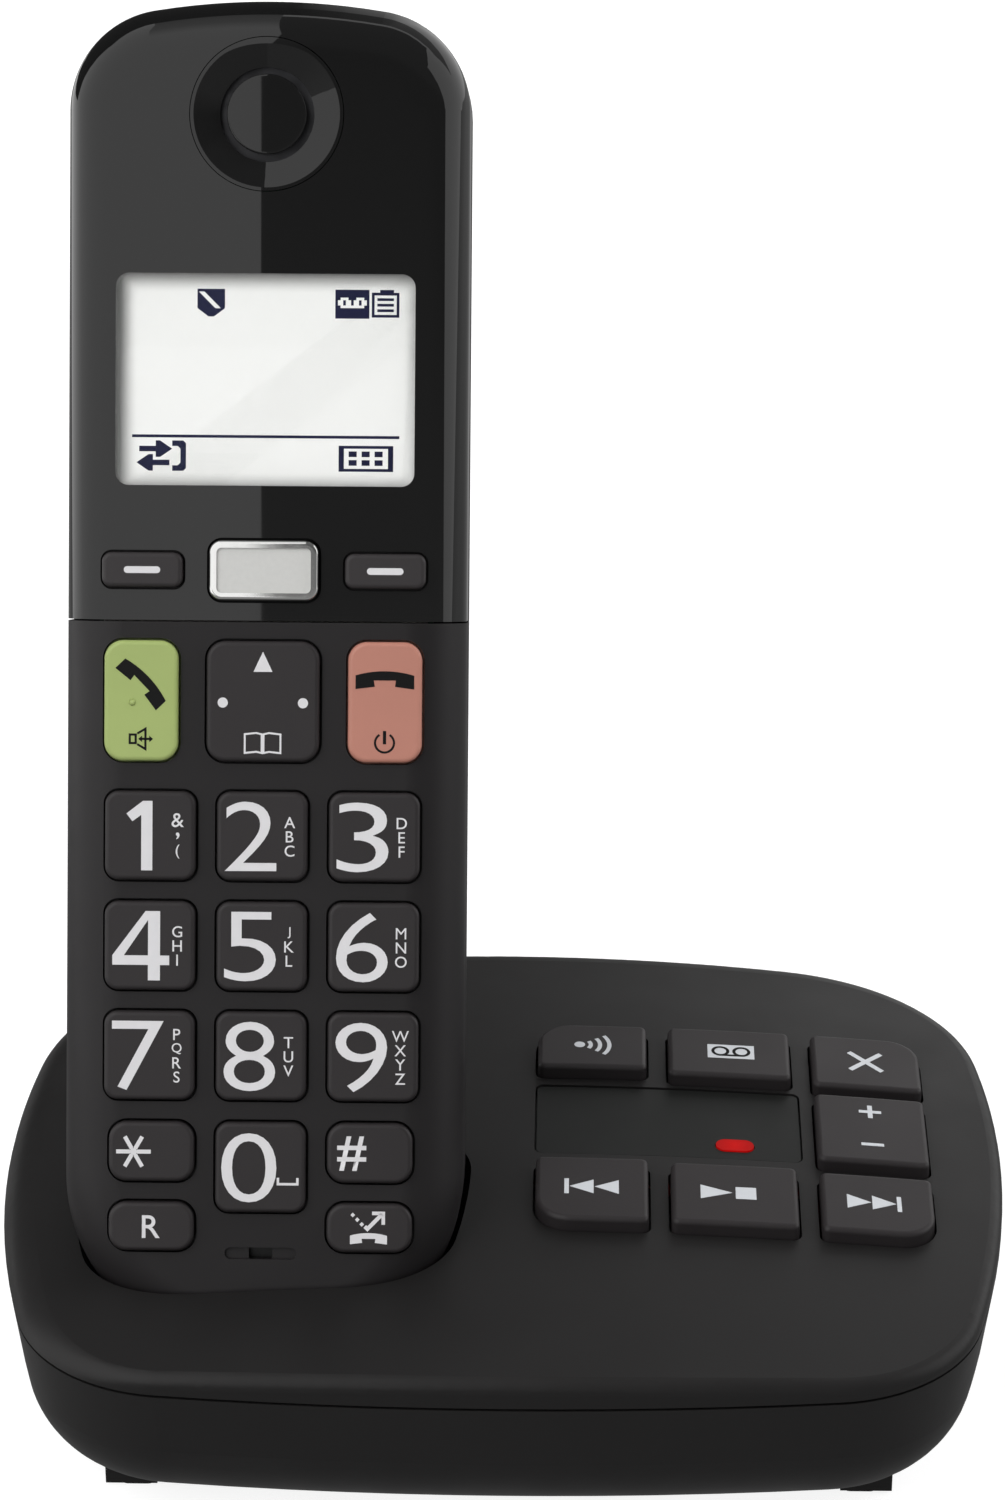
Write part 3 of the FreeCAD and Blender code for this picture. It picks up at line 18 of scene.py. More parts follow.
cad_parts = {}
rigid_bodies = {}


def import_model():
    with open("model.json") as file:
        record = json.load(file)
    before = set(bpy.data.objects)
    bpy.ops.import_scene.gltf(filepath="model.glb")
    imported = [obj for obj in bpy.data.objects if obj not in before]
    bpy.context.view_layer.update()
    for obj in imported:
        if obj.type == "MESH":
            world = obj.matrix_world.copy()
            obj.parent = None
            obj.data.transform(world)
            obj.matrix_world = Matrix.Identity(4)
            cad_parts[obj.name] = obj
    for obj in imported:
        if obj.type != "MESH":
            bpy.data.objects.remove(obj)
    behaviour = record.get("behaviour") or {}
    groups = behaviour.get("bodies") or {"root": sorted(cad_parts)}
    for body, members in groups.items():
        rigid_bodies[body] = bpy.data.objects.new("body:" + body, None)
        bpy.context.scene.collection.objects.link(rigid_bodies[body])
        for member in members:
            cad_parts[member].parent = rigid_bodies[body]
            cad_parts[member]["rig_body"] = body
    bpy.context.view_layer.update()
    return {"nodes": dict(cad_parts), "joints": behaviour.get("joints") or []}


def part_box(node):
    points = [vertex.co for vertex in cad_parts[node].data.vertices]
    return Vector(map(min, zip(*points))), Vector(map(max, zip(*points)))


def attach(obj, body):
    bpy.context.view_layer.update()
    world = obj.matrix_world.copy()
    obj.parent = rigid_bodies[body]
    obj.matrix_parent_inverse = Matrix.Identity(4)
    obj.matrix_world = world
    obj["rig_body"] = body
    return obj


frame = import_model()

LOG = logging.getLogger("answering_machine")
MM = 0.001
Point = tuple[float, float]
Triple = tuple[float, float, float]
Colour = tuple[float, float, float, float]
Stops = tuple[tuple[float, str], ...]
Tree = bpy.types.NodeTree
Socket = bpy.types.NodeSocket
Corners = tuple[Triple, Triple, Triple, Triple]
Inputs = dict[str | int, object]


# ------------------------------------------------------------------ nodes and colours

def linear(colour: str) -> Colour:
    """Turn an sRGB hex colour into linear light.

    Args:
        colour: Six hex digits after a #.

    Returns:
        Red, green, blue and full alpha.
    """
    channels = [int(colour[start:start + 2], 16) / 255 for start in (1, 3, 5)]
    light = [c / 12.92 if c <= 0.04045 else ((c + 0.055) / 1.055) ** 2.4 for c in channels]
    return light[0], light[1], light[2], 1.0


def scaled(colour: str, share: float) -> Colour:
    """Turn an sRGB hex colour into linear light that is brighter or darker by a share.

    Args:
        colour: Six hex digits after a #.
        share: What the light is multiplied by.

    Returns:
        Red, green, blue and full alpha.
    """
    red, green, blue, alpha = linear(colour)
    return red * share, green * share, blue * share, alpha


def per_metre(size_mm: float) -> float:
    """Texture scale at which one feature is size_mm wide."""
    return 1 / (size_mm * MM)


def add_node(tree: Tree, kind: str, inputs: Inputs | None = None,
             **settings: object) -> bpy.types.Node:
    """Add a node with its settings and links.

    Args:
        tree: The node tree.
        kind: The node's type name.
        inputs: Input name or number, with a value or the output that feeds it.
        **settings: Properties of the node.

    Returns:
        The new node.
    """
    node = tree.nodes.new(kind)
    for name, value in settings.items():
        setattr(node, name, value)
    for key, value in (inputs or {}).items():
        if isinstance(value, Socket):
            tree.links.new(value, node.inputs[key])
        else:
            node.inputs[key].default_value = value
    return node


def new_tree(name: str) -> tuple[bpy.types.Material, Tree]:
    """Make a material with an empty node tree.

    Args:
        name: The material's name.

    Returns:
        The material and its tree.
    """
    material = bpy.data.materials.new(name)
    material.use_nodes = True
    material.node_tree.nodes.clear()
    return material, material.node_tree


def varied(tree: Tree, colour: str, place: Socket, patch_mm: float, change: float) -> Socket:
    """Let a colour drift a little over the surface, as real mouldings and coatings do.

    Args:
        tree: The node tree.
        colour: Mean sRGB colour.
        place: Where the texture is read.
        patch_mm: Width of a patch.
        change: Share by which the light value rises and falls.

    Returns:
        The colour output.
    """
    patches = add_node(tree, "ShaderNodeTexNoise",
                       {"Vector": place, "Scale": per_metre(patch_mm), "Detail": 3.0})
    drift = add_node(tree, "ShaderNodeMix", {
        0: patches.outputs["Fac"],
        6: scaled(colour, 1 - change),
        7: scaled(colour, 1 + change),
    }, data_type="RGBA")
    return drift.outputs[2]


def relief(tree: Tree, height: Socket, depth_mm: float) -> Socket:
    """Turn a height into a bumped normal of a real depth."""
    bump = add_node(tree, "ShaderNodeBump",
                    {"Height": height, "Distance": depth_mm * MM, "Strength": 1.0})
    return bump.outputs["Normal"]


def uneven(tree: Tree, place: Socket, patch_mm: float, low: float, high: float) -> Socket:
    """Roughness that wanders between two values.

    Args:
        tree: The node tree.
        place: Where the texture is read.
        patch_mm: Width of a patch.
        low: Lowest roughness.
        high: Highest roughness.

    Returns:
        The roughness output.
    """
    patches = add_node(tree, "ShaderNodeTexNoise",
                       {"Vector": place, "Scale": per_metre(patch_mm), "Detail": 2.0})
    spread = add_node(tree, "ShaderNodeMapRange", {
        "Value": patches.outputs["Fac"],
        "From Min": 0.3,
        "From Max": 0.7,
        "To Min": low,
        "To Max": high,
    })
    return spread.outputs["Result"]


# ------------------------------------------------------------------ finishes

@dataclass(frozen=True)
class Finish:
    """A finish: the material's name and its main sRGB colour."""

    name: str
    colour: str

    def material(self) -> bpy.types.Material:
        """Build the material.

        Returns:
            The material, which has one principled surface.
        """
        material, tree = new_tree(self.name)
        place = add_node(tree, "ShaderNodeTexCoord").outputs["Object"]
        surface = add_node(tree, "ShaderNodeBsdfPrincipled", self.inputs(tree, place))
        add_node(tree, "ShaderNodeOutputMaterial", {"Surface": surface.outputs["BSDF"]})
        return material

    def inputs(self, tree: Tree, place: Socket) -> Inputs:
        """Give the surface's inputs.

        Args:
            tree: The material's node tree.
            place: Where its textures are read.

        Returns:
            The inputs by name.
        """
        raise NotImplementedError


@dataclass(frozen=True)
class SparkErodedAbs(Finish):
    """ABS moulded in a spark-eroded cavity.

    The cavity's craters leave a fine, even grain without direction. It spreads the highlights, so
    that the plastic looks matt and soft. The real grain is about 0.1 mm; it is drawn 0.4 mm wide,
    which is as fine as still shows.
    """

    roughness: float = 0.5
    grain_mm: float = 0.4
    relief_mm: float = 0.006
    specular: float = 0.35

    def inputs(self, tree: Tree, place: Socket) -> Inputs:
        """Give the surface's inputs.

        Args:
            tree: The material's node tree.
            place: Where its textures are read.

        Returns:
            The inputs by name.
        """
        grain = add_node(tree, "ShaderNodeTexNoise",
                         {"Vector": place, "Scale": per_metre(self.grain_mm), "Detail": 2.0})
        return {
            "Base Color": varied(tree, self.colour, place, 14.0, 0.08),
            "Roughness": uneven(tree, place, 9.0, self.roughness - 0.03, self.roughness + 0.04),
            "Normal": relief(tree, grain.outputs["Fac"], self.relief_mm),
            "IOR": 1.53,
            "Specular IOR Level": self.specular,
        }


@dataclass(frozen=True)
class PolishedAbs(Finish):
    """ABS from a mirror-polished cavity.

    It reflects like black glass. The plastic shrinks a little as it cools, so that its reflections
    sway very slightly over about 20 mm.
    """

    roughness: float = 0.012
    sway_mm: float = 20.0
    relief_mm: float = 0.0015

    def inputs(self, tree: Tree, place: Socket) -> Inputs:
        """Give the surface's inputs.

        Args:
            tree: The material's node tree.
            place: Where its textures are read.

        Returns:
            The inputs by name.
        """
        sway = add_node(tree, "ShaderNodeTexNoise",
                        {"Vector": place, "Scale": per_metre(self.sway_mm), "Detail": 0.0})
        return {
            "Base Color": varied(tree, self.colour, place, 25.0, 0.05),
            "Roughness": uneven(tree, place, 15.0, self.roughness - 0.006, self.roughness + 0.006),
            "Normal": relief(tree, sway.outputs["Fac"], self.relief_mm),
            "IOR": 1.53,
        }


@dataclass(frozen=True)
class ChromedAbs(Finish):
    """Electroplated ABS: bright chromium over nickel, mirror-like with a hint of plating haze.

    Only the part that stands out of its hole is plated. Below it the part is painted near-black and
    matt: painted shade of the gap around the part, so that the gap stays dark.
    """

    roughness: float = 0.05
    top: Vector = field(default_factory=Vector)
    outward: Vector = field(default_factory=lambda: Vector((0.0, 0.0, 1.0)))
    plated_mm: float = 1.0
    bare: str = "#0b0b0b"
    bare_roughness: float = 0.5

    def inputs(self, tree: Tree, place: Socket) -> Inputs:
        """Give the surface's inputs.

        Args:
            tree: The material's node tree.
            place: Where its textures are read.

        Returns:
            The inputs by name.
        """
        below = add_node(tree, "ShaderNodeVectorMath", {0: self.top, 1: place},
                         operation="SUBTRACT")
        depth = add_node(tree, "ShaderNodeVectorMath",
                         {0: below.outputs["Vector"], 1: self.outward}, operation="DOT_PRODUCT")
        plated = add_node(tree, "ShaderNodeMath",
                          {0: depth.outputs["Value"], 1: self.plated_mm * MM},
                          operation="LESS_THAN")
        # Below the plated top, colour and roughness are near-black and matt: painted shade of the
        # gap.
        colour = add_node(tree, "ShaderNodeMix", {
            0: plated.outputs[0],
            6: linear(self.bare),
            7: varied(tree, self.colour, place, 3.0, 0.03),
        }, data_type="RGBA")
        haze = uneven(tree, place, 2.0, self.roughness - 0.02, self.roughness + 0.02)
        shine = add_node(tree, "ShaderNodeMix",
                         {0: plated.outputs[0], 2: self.bare_roughness, 3: haze})
        return {
            "Base Color": colour.outputs[2],
            "Metallic": plated.outputs[0],
            "Roughness": shine.outputs[0],
        }


@dataclass(frozen=True)
class SilverLacquer(Finish):
    """Silver lacquer sprayed on plastic: fine metal flakes under a satin binder.

    The real flakes are about 0.03 mm; they are drawn 0.25 mm wide, which still shows.
    """

    roughness: float = 0.42
    flake_mm: float = 0.25
    relief_mm: float = 0.002

    def inputs(self, tree: Tree, place: Socket) -> Inputs:
        """Give the surface's inputs.

        Args:
            tree: The material's node tree.
            place: Where its textures are read.

        Returns:
            The inputs by name.
        """
        flakes = add_node(tree, "ShaderNodeTexVoronoi",
                          {"Vector": place, "Scale": per_metre(self.flake_mm)})
        return {
            "Base Color": varied(tree, self.colour, place, 0.5, 0.05),
            "Metallic": 0.25,
            "Roughness": self.roughness,
            "Normal": relief(tree, flakes.outputs["Distance"], self.relief_mm),
        }


@dataclass(frozen=True)
class PrintInk(Finish):
    """Pad-printed ink: an opaque, slightly raised film with a matt, faintly orange-peeled face."""

    roughness: float = 0.5
    peel_mm: float = 0.5
    relief_mm: float = 0.004

    def inputs(self, tree: Tree, place: Socket) -> Inputs:
        """Give the surface's inputs.

        Args:
            tree: The material's node tree.
            place: Where its textures are read.

        Returns:
            The inputs by name.
        """
        peel = add_node(tree, "ShaderNodeTexNoise",
                        {"Vector": place, "Scale": per_metre(self.peel_mm)})
        return {
            "Base Color": varied(tree, self.colour, place, 2.0, 0.04),
            "Roughness": self.roughness,
            "Normal": relief(tree, peel.outputs["Fac"], self.relief_mm),
            "Specular IOR Level": 0.25,
        }


@dataclass(frozen=True)
class BacklitPanel(Finish):
    """Face of a backlit display: an even pale glow with painted shade at the window's edge.

    The grey edge is painted shade in both the colour and the glow. It stands for the shade of the
    window's walls over the outer millimetres, most on the left and at the top, so that the edge
    looks sunk. The glow is the backlight, and it also makes up for light that the glass lens keeps
    off the panel.
    """

    centre: Vector = field(default_factory=Vector)
    lean: float = 0.0
    half_width_mm: float = 17.5
    half_height_mm: float = 12.35
    shift_mm: Point = (0.55, -0.3)
    edge_mm: float = 1.9
    edge_light: float = 0.12
    edge_start_mm: float = -0.8
    corner_mm: float = 1.0
    lit: float = 0.42
    unlit: float = 0.15
    glow: float = 0.58

    def inputs(self, tree: Tree, place: Socket) -> Inputs:
        """Give the surface's inputs.

        Args:
            tree: The material's node tree.
            place: Where its textures are read.

        Returns:
            The inputs by name.
        """
        local = add_node(tree, "ShaderNodeMapping", {
            "Vector": place,
            "Location": self.centre,
            "Rotation": (-self.lean, 0.0, 0.0),
        }, vector_type="TEXTURE")
        parts = add_node(tree, "ShaderNodeSeparateXYZ", {"Vector": local.outputs["Vector"]})
        insets = []
        for axis, half, shift in (("X", self.half_width_mm, self.shift_mm[0]),
                                  ("Z", self.half_height_mm, self.shift_mm[1])):
            offset = add_node(tree, "ShaderNodeMath", {0: parts.outputs[axis], 1: shift * MM},
                              operation="SUBTRACT")
            away = add_node(tree, "ShaderNodeMath", {0: offset.outputs[0]}, operation="ABSOLUTE")
            inset = add_node(tree, "ShaderNodeMath", {0: half * MM, 1: away.outputs[0]},
                             operation="SUBTRACT")
            insets.append(inset.outputs[0])
        nearest = add_node(tree, "ShaderNodeMath",
                           {0: insets[0], 1: insets[1], 2: self.corner_mm * MM},
                           operation="SMOOTH_MIN")
        # Painted shade: this share falls towards the window's edge and darkens both the colour and
        # the glow.
        light = add_node(tree, "ShaderNodeMapRange", {
            "Value": nearest.outputs[0],
            "From Min": self.edge_start_mm * MM,
            "From Max": self.edge_mm * MM,
            "To Min": self.edge_light,
            "To Max": 1.0,
        }, interpolation_type="SMOOTHSTEP")
        # The panel's colour and glow are mixed between a shaded and a lit copy by that painted
        # shade.
        colour = add_node(tree, "ShaderNodeMix", {
            0: light.outputs["Result"],
            6: scaled(self.colour, self.unlit),
            7: scaled(self.colour, self.lit),
        }, data_type="RGBA")
        glow = add_node(tree, "ShaderNodeMix", {
            0: light.outputs["Result"],
            6: linear("#000000"),
            7: linear(self.colour),
        }, data_type="RGBA")
        return {
            "Base Color": colour.outputs[2],
            "Roughness": 0.6,
            "Specular IOR Level": 0.1,
            "Emission Color": glow.outputs[2],
            "Emission Strength": self.glow,
        }


@dataclass(frozen=True)
class ClearAcrylic(Finish):
    """Clear cast acrylic with an anti-reflection coating.

    The coating lowers the index that light meets at the face, so that only a faint, sharp
    reflection is left over the display.
    """

    coated_index: float = 1.16

    def inputs(self, tree: Tree, place: Socket) -> Inputs:
        """Give the surface's inputs.

        Args:
            tree: The material's node tree.
            place: Where its textures are read.

        Returns:
            The inputs by name.
        """
        return {
            "Base Color": linear(self.colour),
            "Roughness": uneven(tree, place, 8.0, 0.01, 0.03),
            "IOR": self.coated_index,
            "Transmission Weight": 1.0,
        }


@dataclass(frozen=True)
class LitPolycarbonate(Finish):
    """Tinted polycarbonate light pipe with a lamp behind it: it glows most in its middle."""

    glow: float = 0.6
    centre: Vector = field(default_factory=Vector)
    half_length_mm: float = 2.35
    end_light: float = 0.55
    dim_colour: str = "#270000"
    tint: float = 0.2

    def inputs(self, tree: Tree, place: Socket) -> Inputs:
        """Give the surface's inputs.

        Args:
            tree: The material's node tree.
            place: Where its textures are read.

        Returns:
            The inputs by name.
        """
        away = add_node(tree, "ShaderNodeVectorMath", {0: place, 1: self.centre},
                        operation="DISTANCE")
        light = add_node(tree, "ShaderNodeMapRange", {
            "Value": away.outputs["Value"],
            "From Min": 0.0,
            "From Max": self.half_length_mm * MM,
            "To Min": 1.0,
            "To Max": self.end_light,
        })
        glow = add_node(tree, "ShaderNodeMix", {
            0: light.outputs["Result"],
            6: linear(self.dim_colour),
            7: linear(self.colour),
        }, data_type="RGBA")
        return {
            "Base Color": scaled(self.colour, self.tint),
            "Roughness": uneven(tree, place, 1.0, 0.4, 0.5),
            "Specular IOR Level": 0.08,
            "Emission Color": glow.outputs[2],
            "Emission Strength": self.glow,
        }


@dataclass(frozen=True)
class MouldedRubber(Finish):
    """Moulded silicone or rubber: dull, with a slight sheen at glancing angles and fine dust."""

    roughness: float = 0.75
    grain_mm: float = 0.35
    relief_mm: float = 0.01

    def inputs(self, tree: Tree, place: Socket) -> Inputs:
        """Give the surface's inputs.

        Args:
            tree: The material's node tree.
            place: Where its textures are read.

        Returns:
            The inputs by name.
        """
        grain = add_node(tree, "ShaderNodeTexNoise",
                         {"Vector": place, "Scale": per_metre(self.grain_mm)})
        return {
            "Base Color": varied(tree, self.colour, place, 3.0, 0.12),
            "Roughness": self.roughness,
            "Normal": relief(tree, grain.outputs["Fac"], self.relief_mm),
            "Sheen Weight": 0.15,
        }


@dataclass(frozen=True)
class PlatedMetal(Finish):
    """Rolled or turned metal with a thin plating.

    Long fine lines along the grain stretch its shine.
    """

    roughness: float = 0.3
    line_mm: float = 0.15
    line_ratio: float = 0.05
    relief_mm: float = 0.002

    def inputs(self, tree: Tree, place: Socket) -> Inputs:
        """Give the surface's inputs.

        Args:
            tree: The material's node tree.
            place: Where its textures are read.

        Returns:
            The inputs by name.
        """
        stretch = add_node(tree, "ShaderNodeMapping",
                           {"Vector": place, "Scale": (self.line_ratio, 1.0, 1.0)})
        lines = add_node(tree, "ShaderNodeTexNoise",
                         {"Vector": stretch.outputs["Vector"], "Scale": per_metre(self.line_mm)})
        return {
            "Base Color": varied(tree, self.colour, place, 2.0, 0.08),
            "Metallic": 1.0,
            "Roughness": uneven(tree, place, 1.5, self.roughness - 0.06, self.roughness + 0.08),
            "Normal": relief(tree, lines.outputs["Fac"], self.relief_mm),
        }


@dataclass(frozen=True)
class SolderMask(Finish):
    """Circuit board: green solder mask over copper tracks, which show as slightly paler bands."""

    track_mm: float = 1.6
    row_tracks: int = 6
    relief_mm: float = 0.02

    def inputs(self, tree: Tree, place: Socket) -> Inputs:
        """Give the surface's inputs.

        Args:
            tree: The material's node tree.
            place: Where its textures are read.

        Returns:
            The inputs by name.
        """
        tracks = add_node(tree, "ShaderNodeTexBrick", {
            "Vector": place,
            "Color1": linear(self.colour),
            "Color2": scaled(self.colour, 1.25),
            "Mortar": scaled(self.colour, 0.75),
            "Scale": per_metre(self.track_mm * self.row_tracks),
        })
        return {
            "Base Color": tracks.outputs["Color"],
            "Roughness": 0.35,
            "Normal": relief(tree, tracks.outputs["Fac"], self.relief_mm),
        }


BASE_ABS = SparkErodedAbs("base_abs_spark_eroded", "#1c1b1b", 0.42)
BASE_KEY_ABS = SparkErodedAbs("base_key_abs_satin", "#2a2728", 0.42, 0.35, 0.004)
HANDSET_ABS = SparkErodedAbs("handset_abs_spark_eroded", "#1f1d1e", 0.46)
HANDSET_KEY_ABS = SparkErodedAbs("handset_key_abs_satin", "#2d2a2b", 0.42, 0.35, 0.004)
# Painted light: the soft keys get a lighter copy of the handset key plastic, standing for the light
# that falls on them.
SOFT_KEY_ABS_PAINTED_LIGHT = SparkErodedAbs("soft_key_abs_satin_painted_light", "#333031", 0.4, 0.35, 0.004)
GLOSS_ABS = PolishedAbs("faceplate_abs_polished", "#141414")
WINDOW_PC = SparkErodedAbs("window_polycarbonate_smoked", "#151615", 0.44, 0.35, 0.002)
CALL_PC = SparkErodedAbs("call_key_polycarbonate_green", "#a6b770", 0.36, 0.35, 0.003)
END_PC = SparkErodedAbs("end_key_polycarbonate_salmon", "#bd8272", 0.36, 0.35, 0.003)
SILVER = SilverLacquer("menu_cap_silver_lacquer", "#d9d9d6")
SOCKET_PC = SparkErodedAbs("socket_polycarbonate_black", "#171717", 0.4)
CLEAR = ClearAcrylic("display_window_clear_acrylic", "#fbfdfc")
FOOT_RUBBER = MouldedRubber("foot_pad_moulded_rubber", "#171717")
MAT_SILICONE = MouldedRubber("key_mat_silicone", "#bdbab4", 0.6)
PCB = SolderMask("circuit_board_solder_mask", "#2c5a3a")
STEEL = PlatedMetal("zinc_plated_steel", "#b4b4b0", 0.34)
CONTACT = PlatedMetal("nickel_plated_contact", "#c9c2ac", 0.22, 0.1)
BASKET = PlatedMetal("speaker_coated_steel", "#4a4a4c", 0.45)
SLEEVE = PrintInk("cell_shrink_sleeve", "#5f8c57", 0.35)


class Ink(Enum):
    """Inks of the printed marks."""

    LIGHT = PrintInk("pad_print_pale_grey", "#e2e1e3", 0.5)
    ICON = PrintInk("pad_print_cool_grey", "#bfc2c6", 0.5)
    DARK = PrintInk("pad_print_black", "#0e0e0e", 0.55)
    PIXEL = PrintInk("display_segment_navy", "#0a0e34", 0.7)


FINISHES = {
    BASE_ABS: ("base_cover", "base_tub", "cradle_well"),
    WINDOW_PC: ("window_panel",),
    BASE_KEY_ABS: ("paging_key", "answer_key", "delete_key", "volume_key", "previous_key",
                   "play_key", "next_key"),
    PCB: ("base_board", "handset_board"),
    MAT_SILICONE: ("base_key_mat", "handset_key_mat"),
    BASKET: ("loudspeaker", "receiver_capsule", "ringer_speaker"),
    SOCKET_PC: ("line_socket", "power_socket", "microphone"),
    STEEL: ("ballast_plate", "base_screws", "handset_screws"),
    FOOT_RUBBER: ("rubber_feet",),
    CONTACT: ("charge_springs", "battery_contacts", "charge_pads"),
    HANDSET_ABS: ("front_cover", "back_cover", "battery_door"),
    GLOSS_ABS: ("faceplate", "earpiece_dish", "earpiece_cap"),
    SILVER: ("menu_key_cap",),
    CALL_PC: ("call_key",),
    END_PC: ("end_key",),
    CLEAR: ("display_lens",),
    SLEEVE: ("battery_1", "battery_2"),
    SOFT_KEY_ABS_PAINTED_LIGHT: ("soft_key_left", "soft_key_right"),
    HANDSET_KEY_ABS: ("nav_key", "star_key", "hash_key", "recall_key",
                      "divert_key") + tuple(f"digit_key_{digit}" for digit in range(10)),
}


def dress(node: str, material: bpy.types.Material) -> None:
    """Give a solid one material.

    Args:
        node: The solid.
        material: Its material.
    """
    slots = frame["nodes"][node].data.materials
    slots.clear()
    slots.append(material)


def body_of(node: str) -> str:
    """Name of the body on which a solid rides."""
    return frame["nodes"][node]["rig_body"]


def add_object(name: str, data: bpy.types.ID) -> bpy.types.Object:
    """Put a new object into the scene.

    Args:
        name: Its name.
        data: Its mesh, text, light or camera.

    Returns:
        The new object.
    """
    item = bpy.data.objects.new(name, data)
    bpy.context.scene.collection.objects.link(item)
    return item


def point_at(item: bpy.types.Object, place_mm: Triple, target_mm: Triple) -> None:
    """Hang a lamp or the camera in its place and turn it towards a point.

    Args:
        item: The lamp or camera.
        place_mm: Its place.
        target_mm: The point.
    """
    item.location = Vector(place_mm) * MM
    aim = Vector(target_mm) * MM - item.location
    item.rotation_euler = aim.to_track_quat("-Z", "Y").to_euler()


# ------------------------------------------------------------------ printed marks

class Stencil:
    """Flat outlines in millimetres that become one printed mark."""

    SHARPEST_MITRE = 0.3
    CAST_FROM_MM = 20.0

    def __init__(self) -> None:
        """Start with nothing drawn."""
        self.flat = bmesh.new()

    def outline(self, points: list[Point]) -> "Stencil":
        """Fill a closed outline.

        Args:
            points: The outline's points, in order.

        Returns:
            This stencil.
        """
        face = self.flat.faces.new([self.flat.verts.new((x, y, 0)) for x, y in points])
        face.normal_update()
        if face.normal.z < 0:
            face.normal_flip()
        bmesh.ops.triangulate(self.flat, faces=[face])
        return self

    def bar(self, left: float, right: float, low: float, high: float) -> "Stencil":
        """Fill an upright rectangle."""
        return self.outline([(left, low), (right, low), (right, high), (left, high)])

    def disc(self, centre: Point, radius: float, count: int = 32) -> "Stencil":
        """Fill a circle."""
        return self.outline(arc_points(centre, radius, 0, 360, count)[:-1])

    def line(self, points: list[Point], width: float, closed: bool = False) -> "Stencil":
        """Draw a line of even width with mitred corners.

        Args:
            points: The line's points.
            width: Its width.
            closed: Whether it returns to its first point.

        Returns:
            This stencil.
        """
        count = len(points)
        sides = []
        for index in range(count):
            here = Vector(points[index])
            before = Vector(points[index - 1]) if index or closed else None
            after = Vector(points[(index + 1) % count]) if index < count - 1 or closed else None
            ways = [way.normalized() for way in (before and here - before, after and after - here)
                    if way]
            way = (ways[0] + ways[-1]).normalized()
            reach = width / 2 / max(way.dot(ways[0]), self.SHARPEST_MITRE)
            across = Vector((-way.y, way.x)) * reach
            sides.append([self.flat.verts.new((*(here + sign * across), 0)) for sign in (1, -1)])
        for index in range(count if closed else count - 1):
            (a, b), (c, d) = sides[index], sides[(index + 1) % count]
            self.flat.faces.new((b, d, c, a))
        return self

    def text(self, words: str, height: float, centre: Point, weight: float = 0.0,
             width: float | None = None) -> "Stencil":
        """Draw plain characters.

        Args:
            words: The characters.
            height: Height from the lowest to the highest point.
            centre: Middle of the characters' box.
            weight: How much bolder than plain, as a share of the font's size.
            width: Width of the characters' box, or None for the natural one.

        Returns:
            This stencil.
        """
        letters = bpy.data.curves.new("letters", "FONT")
        letters.body = words
        letters.offset = weight
        letters.resolution_u = 6
        holder = add_object("letters", letters)
        bpy.context.view_layer.update()
        evaluated = holder.evaluated_get(bpy.context.evaluated_depsgraph_get())
        mesh = bpy.data.meshes.new_from_object(evaluated)
        xs = [vertex.co.x for vertex in mesh.vertices]
        ys = [vertex.co.y for vertex in mesh.vertices]
        scale = height / (max(ys) - min(ys))
        across = width / (max(xs) - min(xs)) if width else scale
        middle = Vector(((max(xs) + min(xs)) / 2, (max(ys) + min(ys)) / 2, 0))
        stretch = Matrix.Diagonal((across, scale, 1, 1))
        mesh.transform(Matrix.Translation((*centre, 0)) @ stretch @ Matrix.Translation(-middle))
        self.flat.from_mesh(mesh)
        bpy.data.objects.remove(holder)
        bpy.data.curves.remove(letters)
        bpy.data.meshes.remove(mesh)
        return self

    def turned(self, degrees: float, offset: Point) -> "Stencil":
        """Turn all that is drawn about its origin, then move it.

        Args:
            degrees: The angle, anticlockwise.
            offset: How far it moves.

        Returns:
            This stencil.
        """
        turn = Matrix.Rotation(math.radians(degrees), 4, "Z")
        self.flat.transform(Matrix.Translation((*offset, 0)) @ turn)
        return self

    def put(self, name: str, place: Matrix, body: str, ink: Ink, lift_mm: float = 0.02,
            onto: str | None = None) -> bpy.types.Object:
        """Print the mark on a surface.

        Args:
            name: Name of the piece.
            place: Local frame of the surface, with Z outwards, in metres.
            body: Body on which the mark rides.
            ink: Its ink.
            lift_mm: Thickness of the ink.
            onto: Solid onto whose curved face the mark is laid, or None for a flat face.

        Returns:
            The new piece.
        """
        mesh = bpy.data.meshes.new(name)
        self.flat.to_mesh(mesh)
        self.flat.free()
        mesh.transform(place @ Matrix.Scale(MM, 4))
        outward = place.to_3x3() @ Vector((0, 0, 1))
        if onto:
            solid = frame["nodes"][onto].data
            tree = BVHTree.FromPolygons([vertex.co for vertex in solid.vertices],
                                        [face.vertices for face in solid.polygons])
            for vertex in mesh.vertices:
                start = vertex.co + outward * self.CAST_FROM_MM * MM
                hit = tree.ray_cast(start, -outward)[0]
                if hit is not None:
                    vertex.co = hit
        for vertex in mesh.vertices:
            vertex.co += outward * lift_mm * MM
        piece = add_object(name, mesh)
        mesh.materials.append(INKS[ink])
        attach(piece, body)
        LOG.info("%s: %d faces", name, len(mesh.polygons))
        return piece


def arc_points(centre: Point, radius: float, start: float, end: float, count: int) -> list[Point]:
    """Points along a circular arc.

    Args:
        centre: The circle's centre.
        radius: Its radius.
        start: First angle in degrees, anticlockwise from +X.
        end: Last angle.
        count: Number of steps.

    Returns:
        The points, one more than the steps.
    """
    angles = [math.radians(start + (end - start) * step / count) for step in range(count + 1)]
    return [(centre[0] + radius * math.cos(a), centre[1] + radius * math.sin(a)) for a in angles]


def pill_points(length: float, width: float) -> list[Point]:
    """Outline of a bar with round ends, along X."""
    reach = (length - width) / 2
    return (arc_points((reach, 0), width / 2, -90, 90, 10)
            + arc_points((-reach, 0), width / 2, 90, 270, 10))


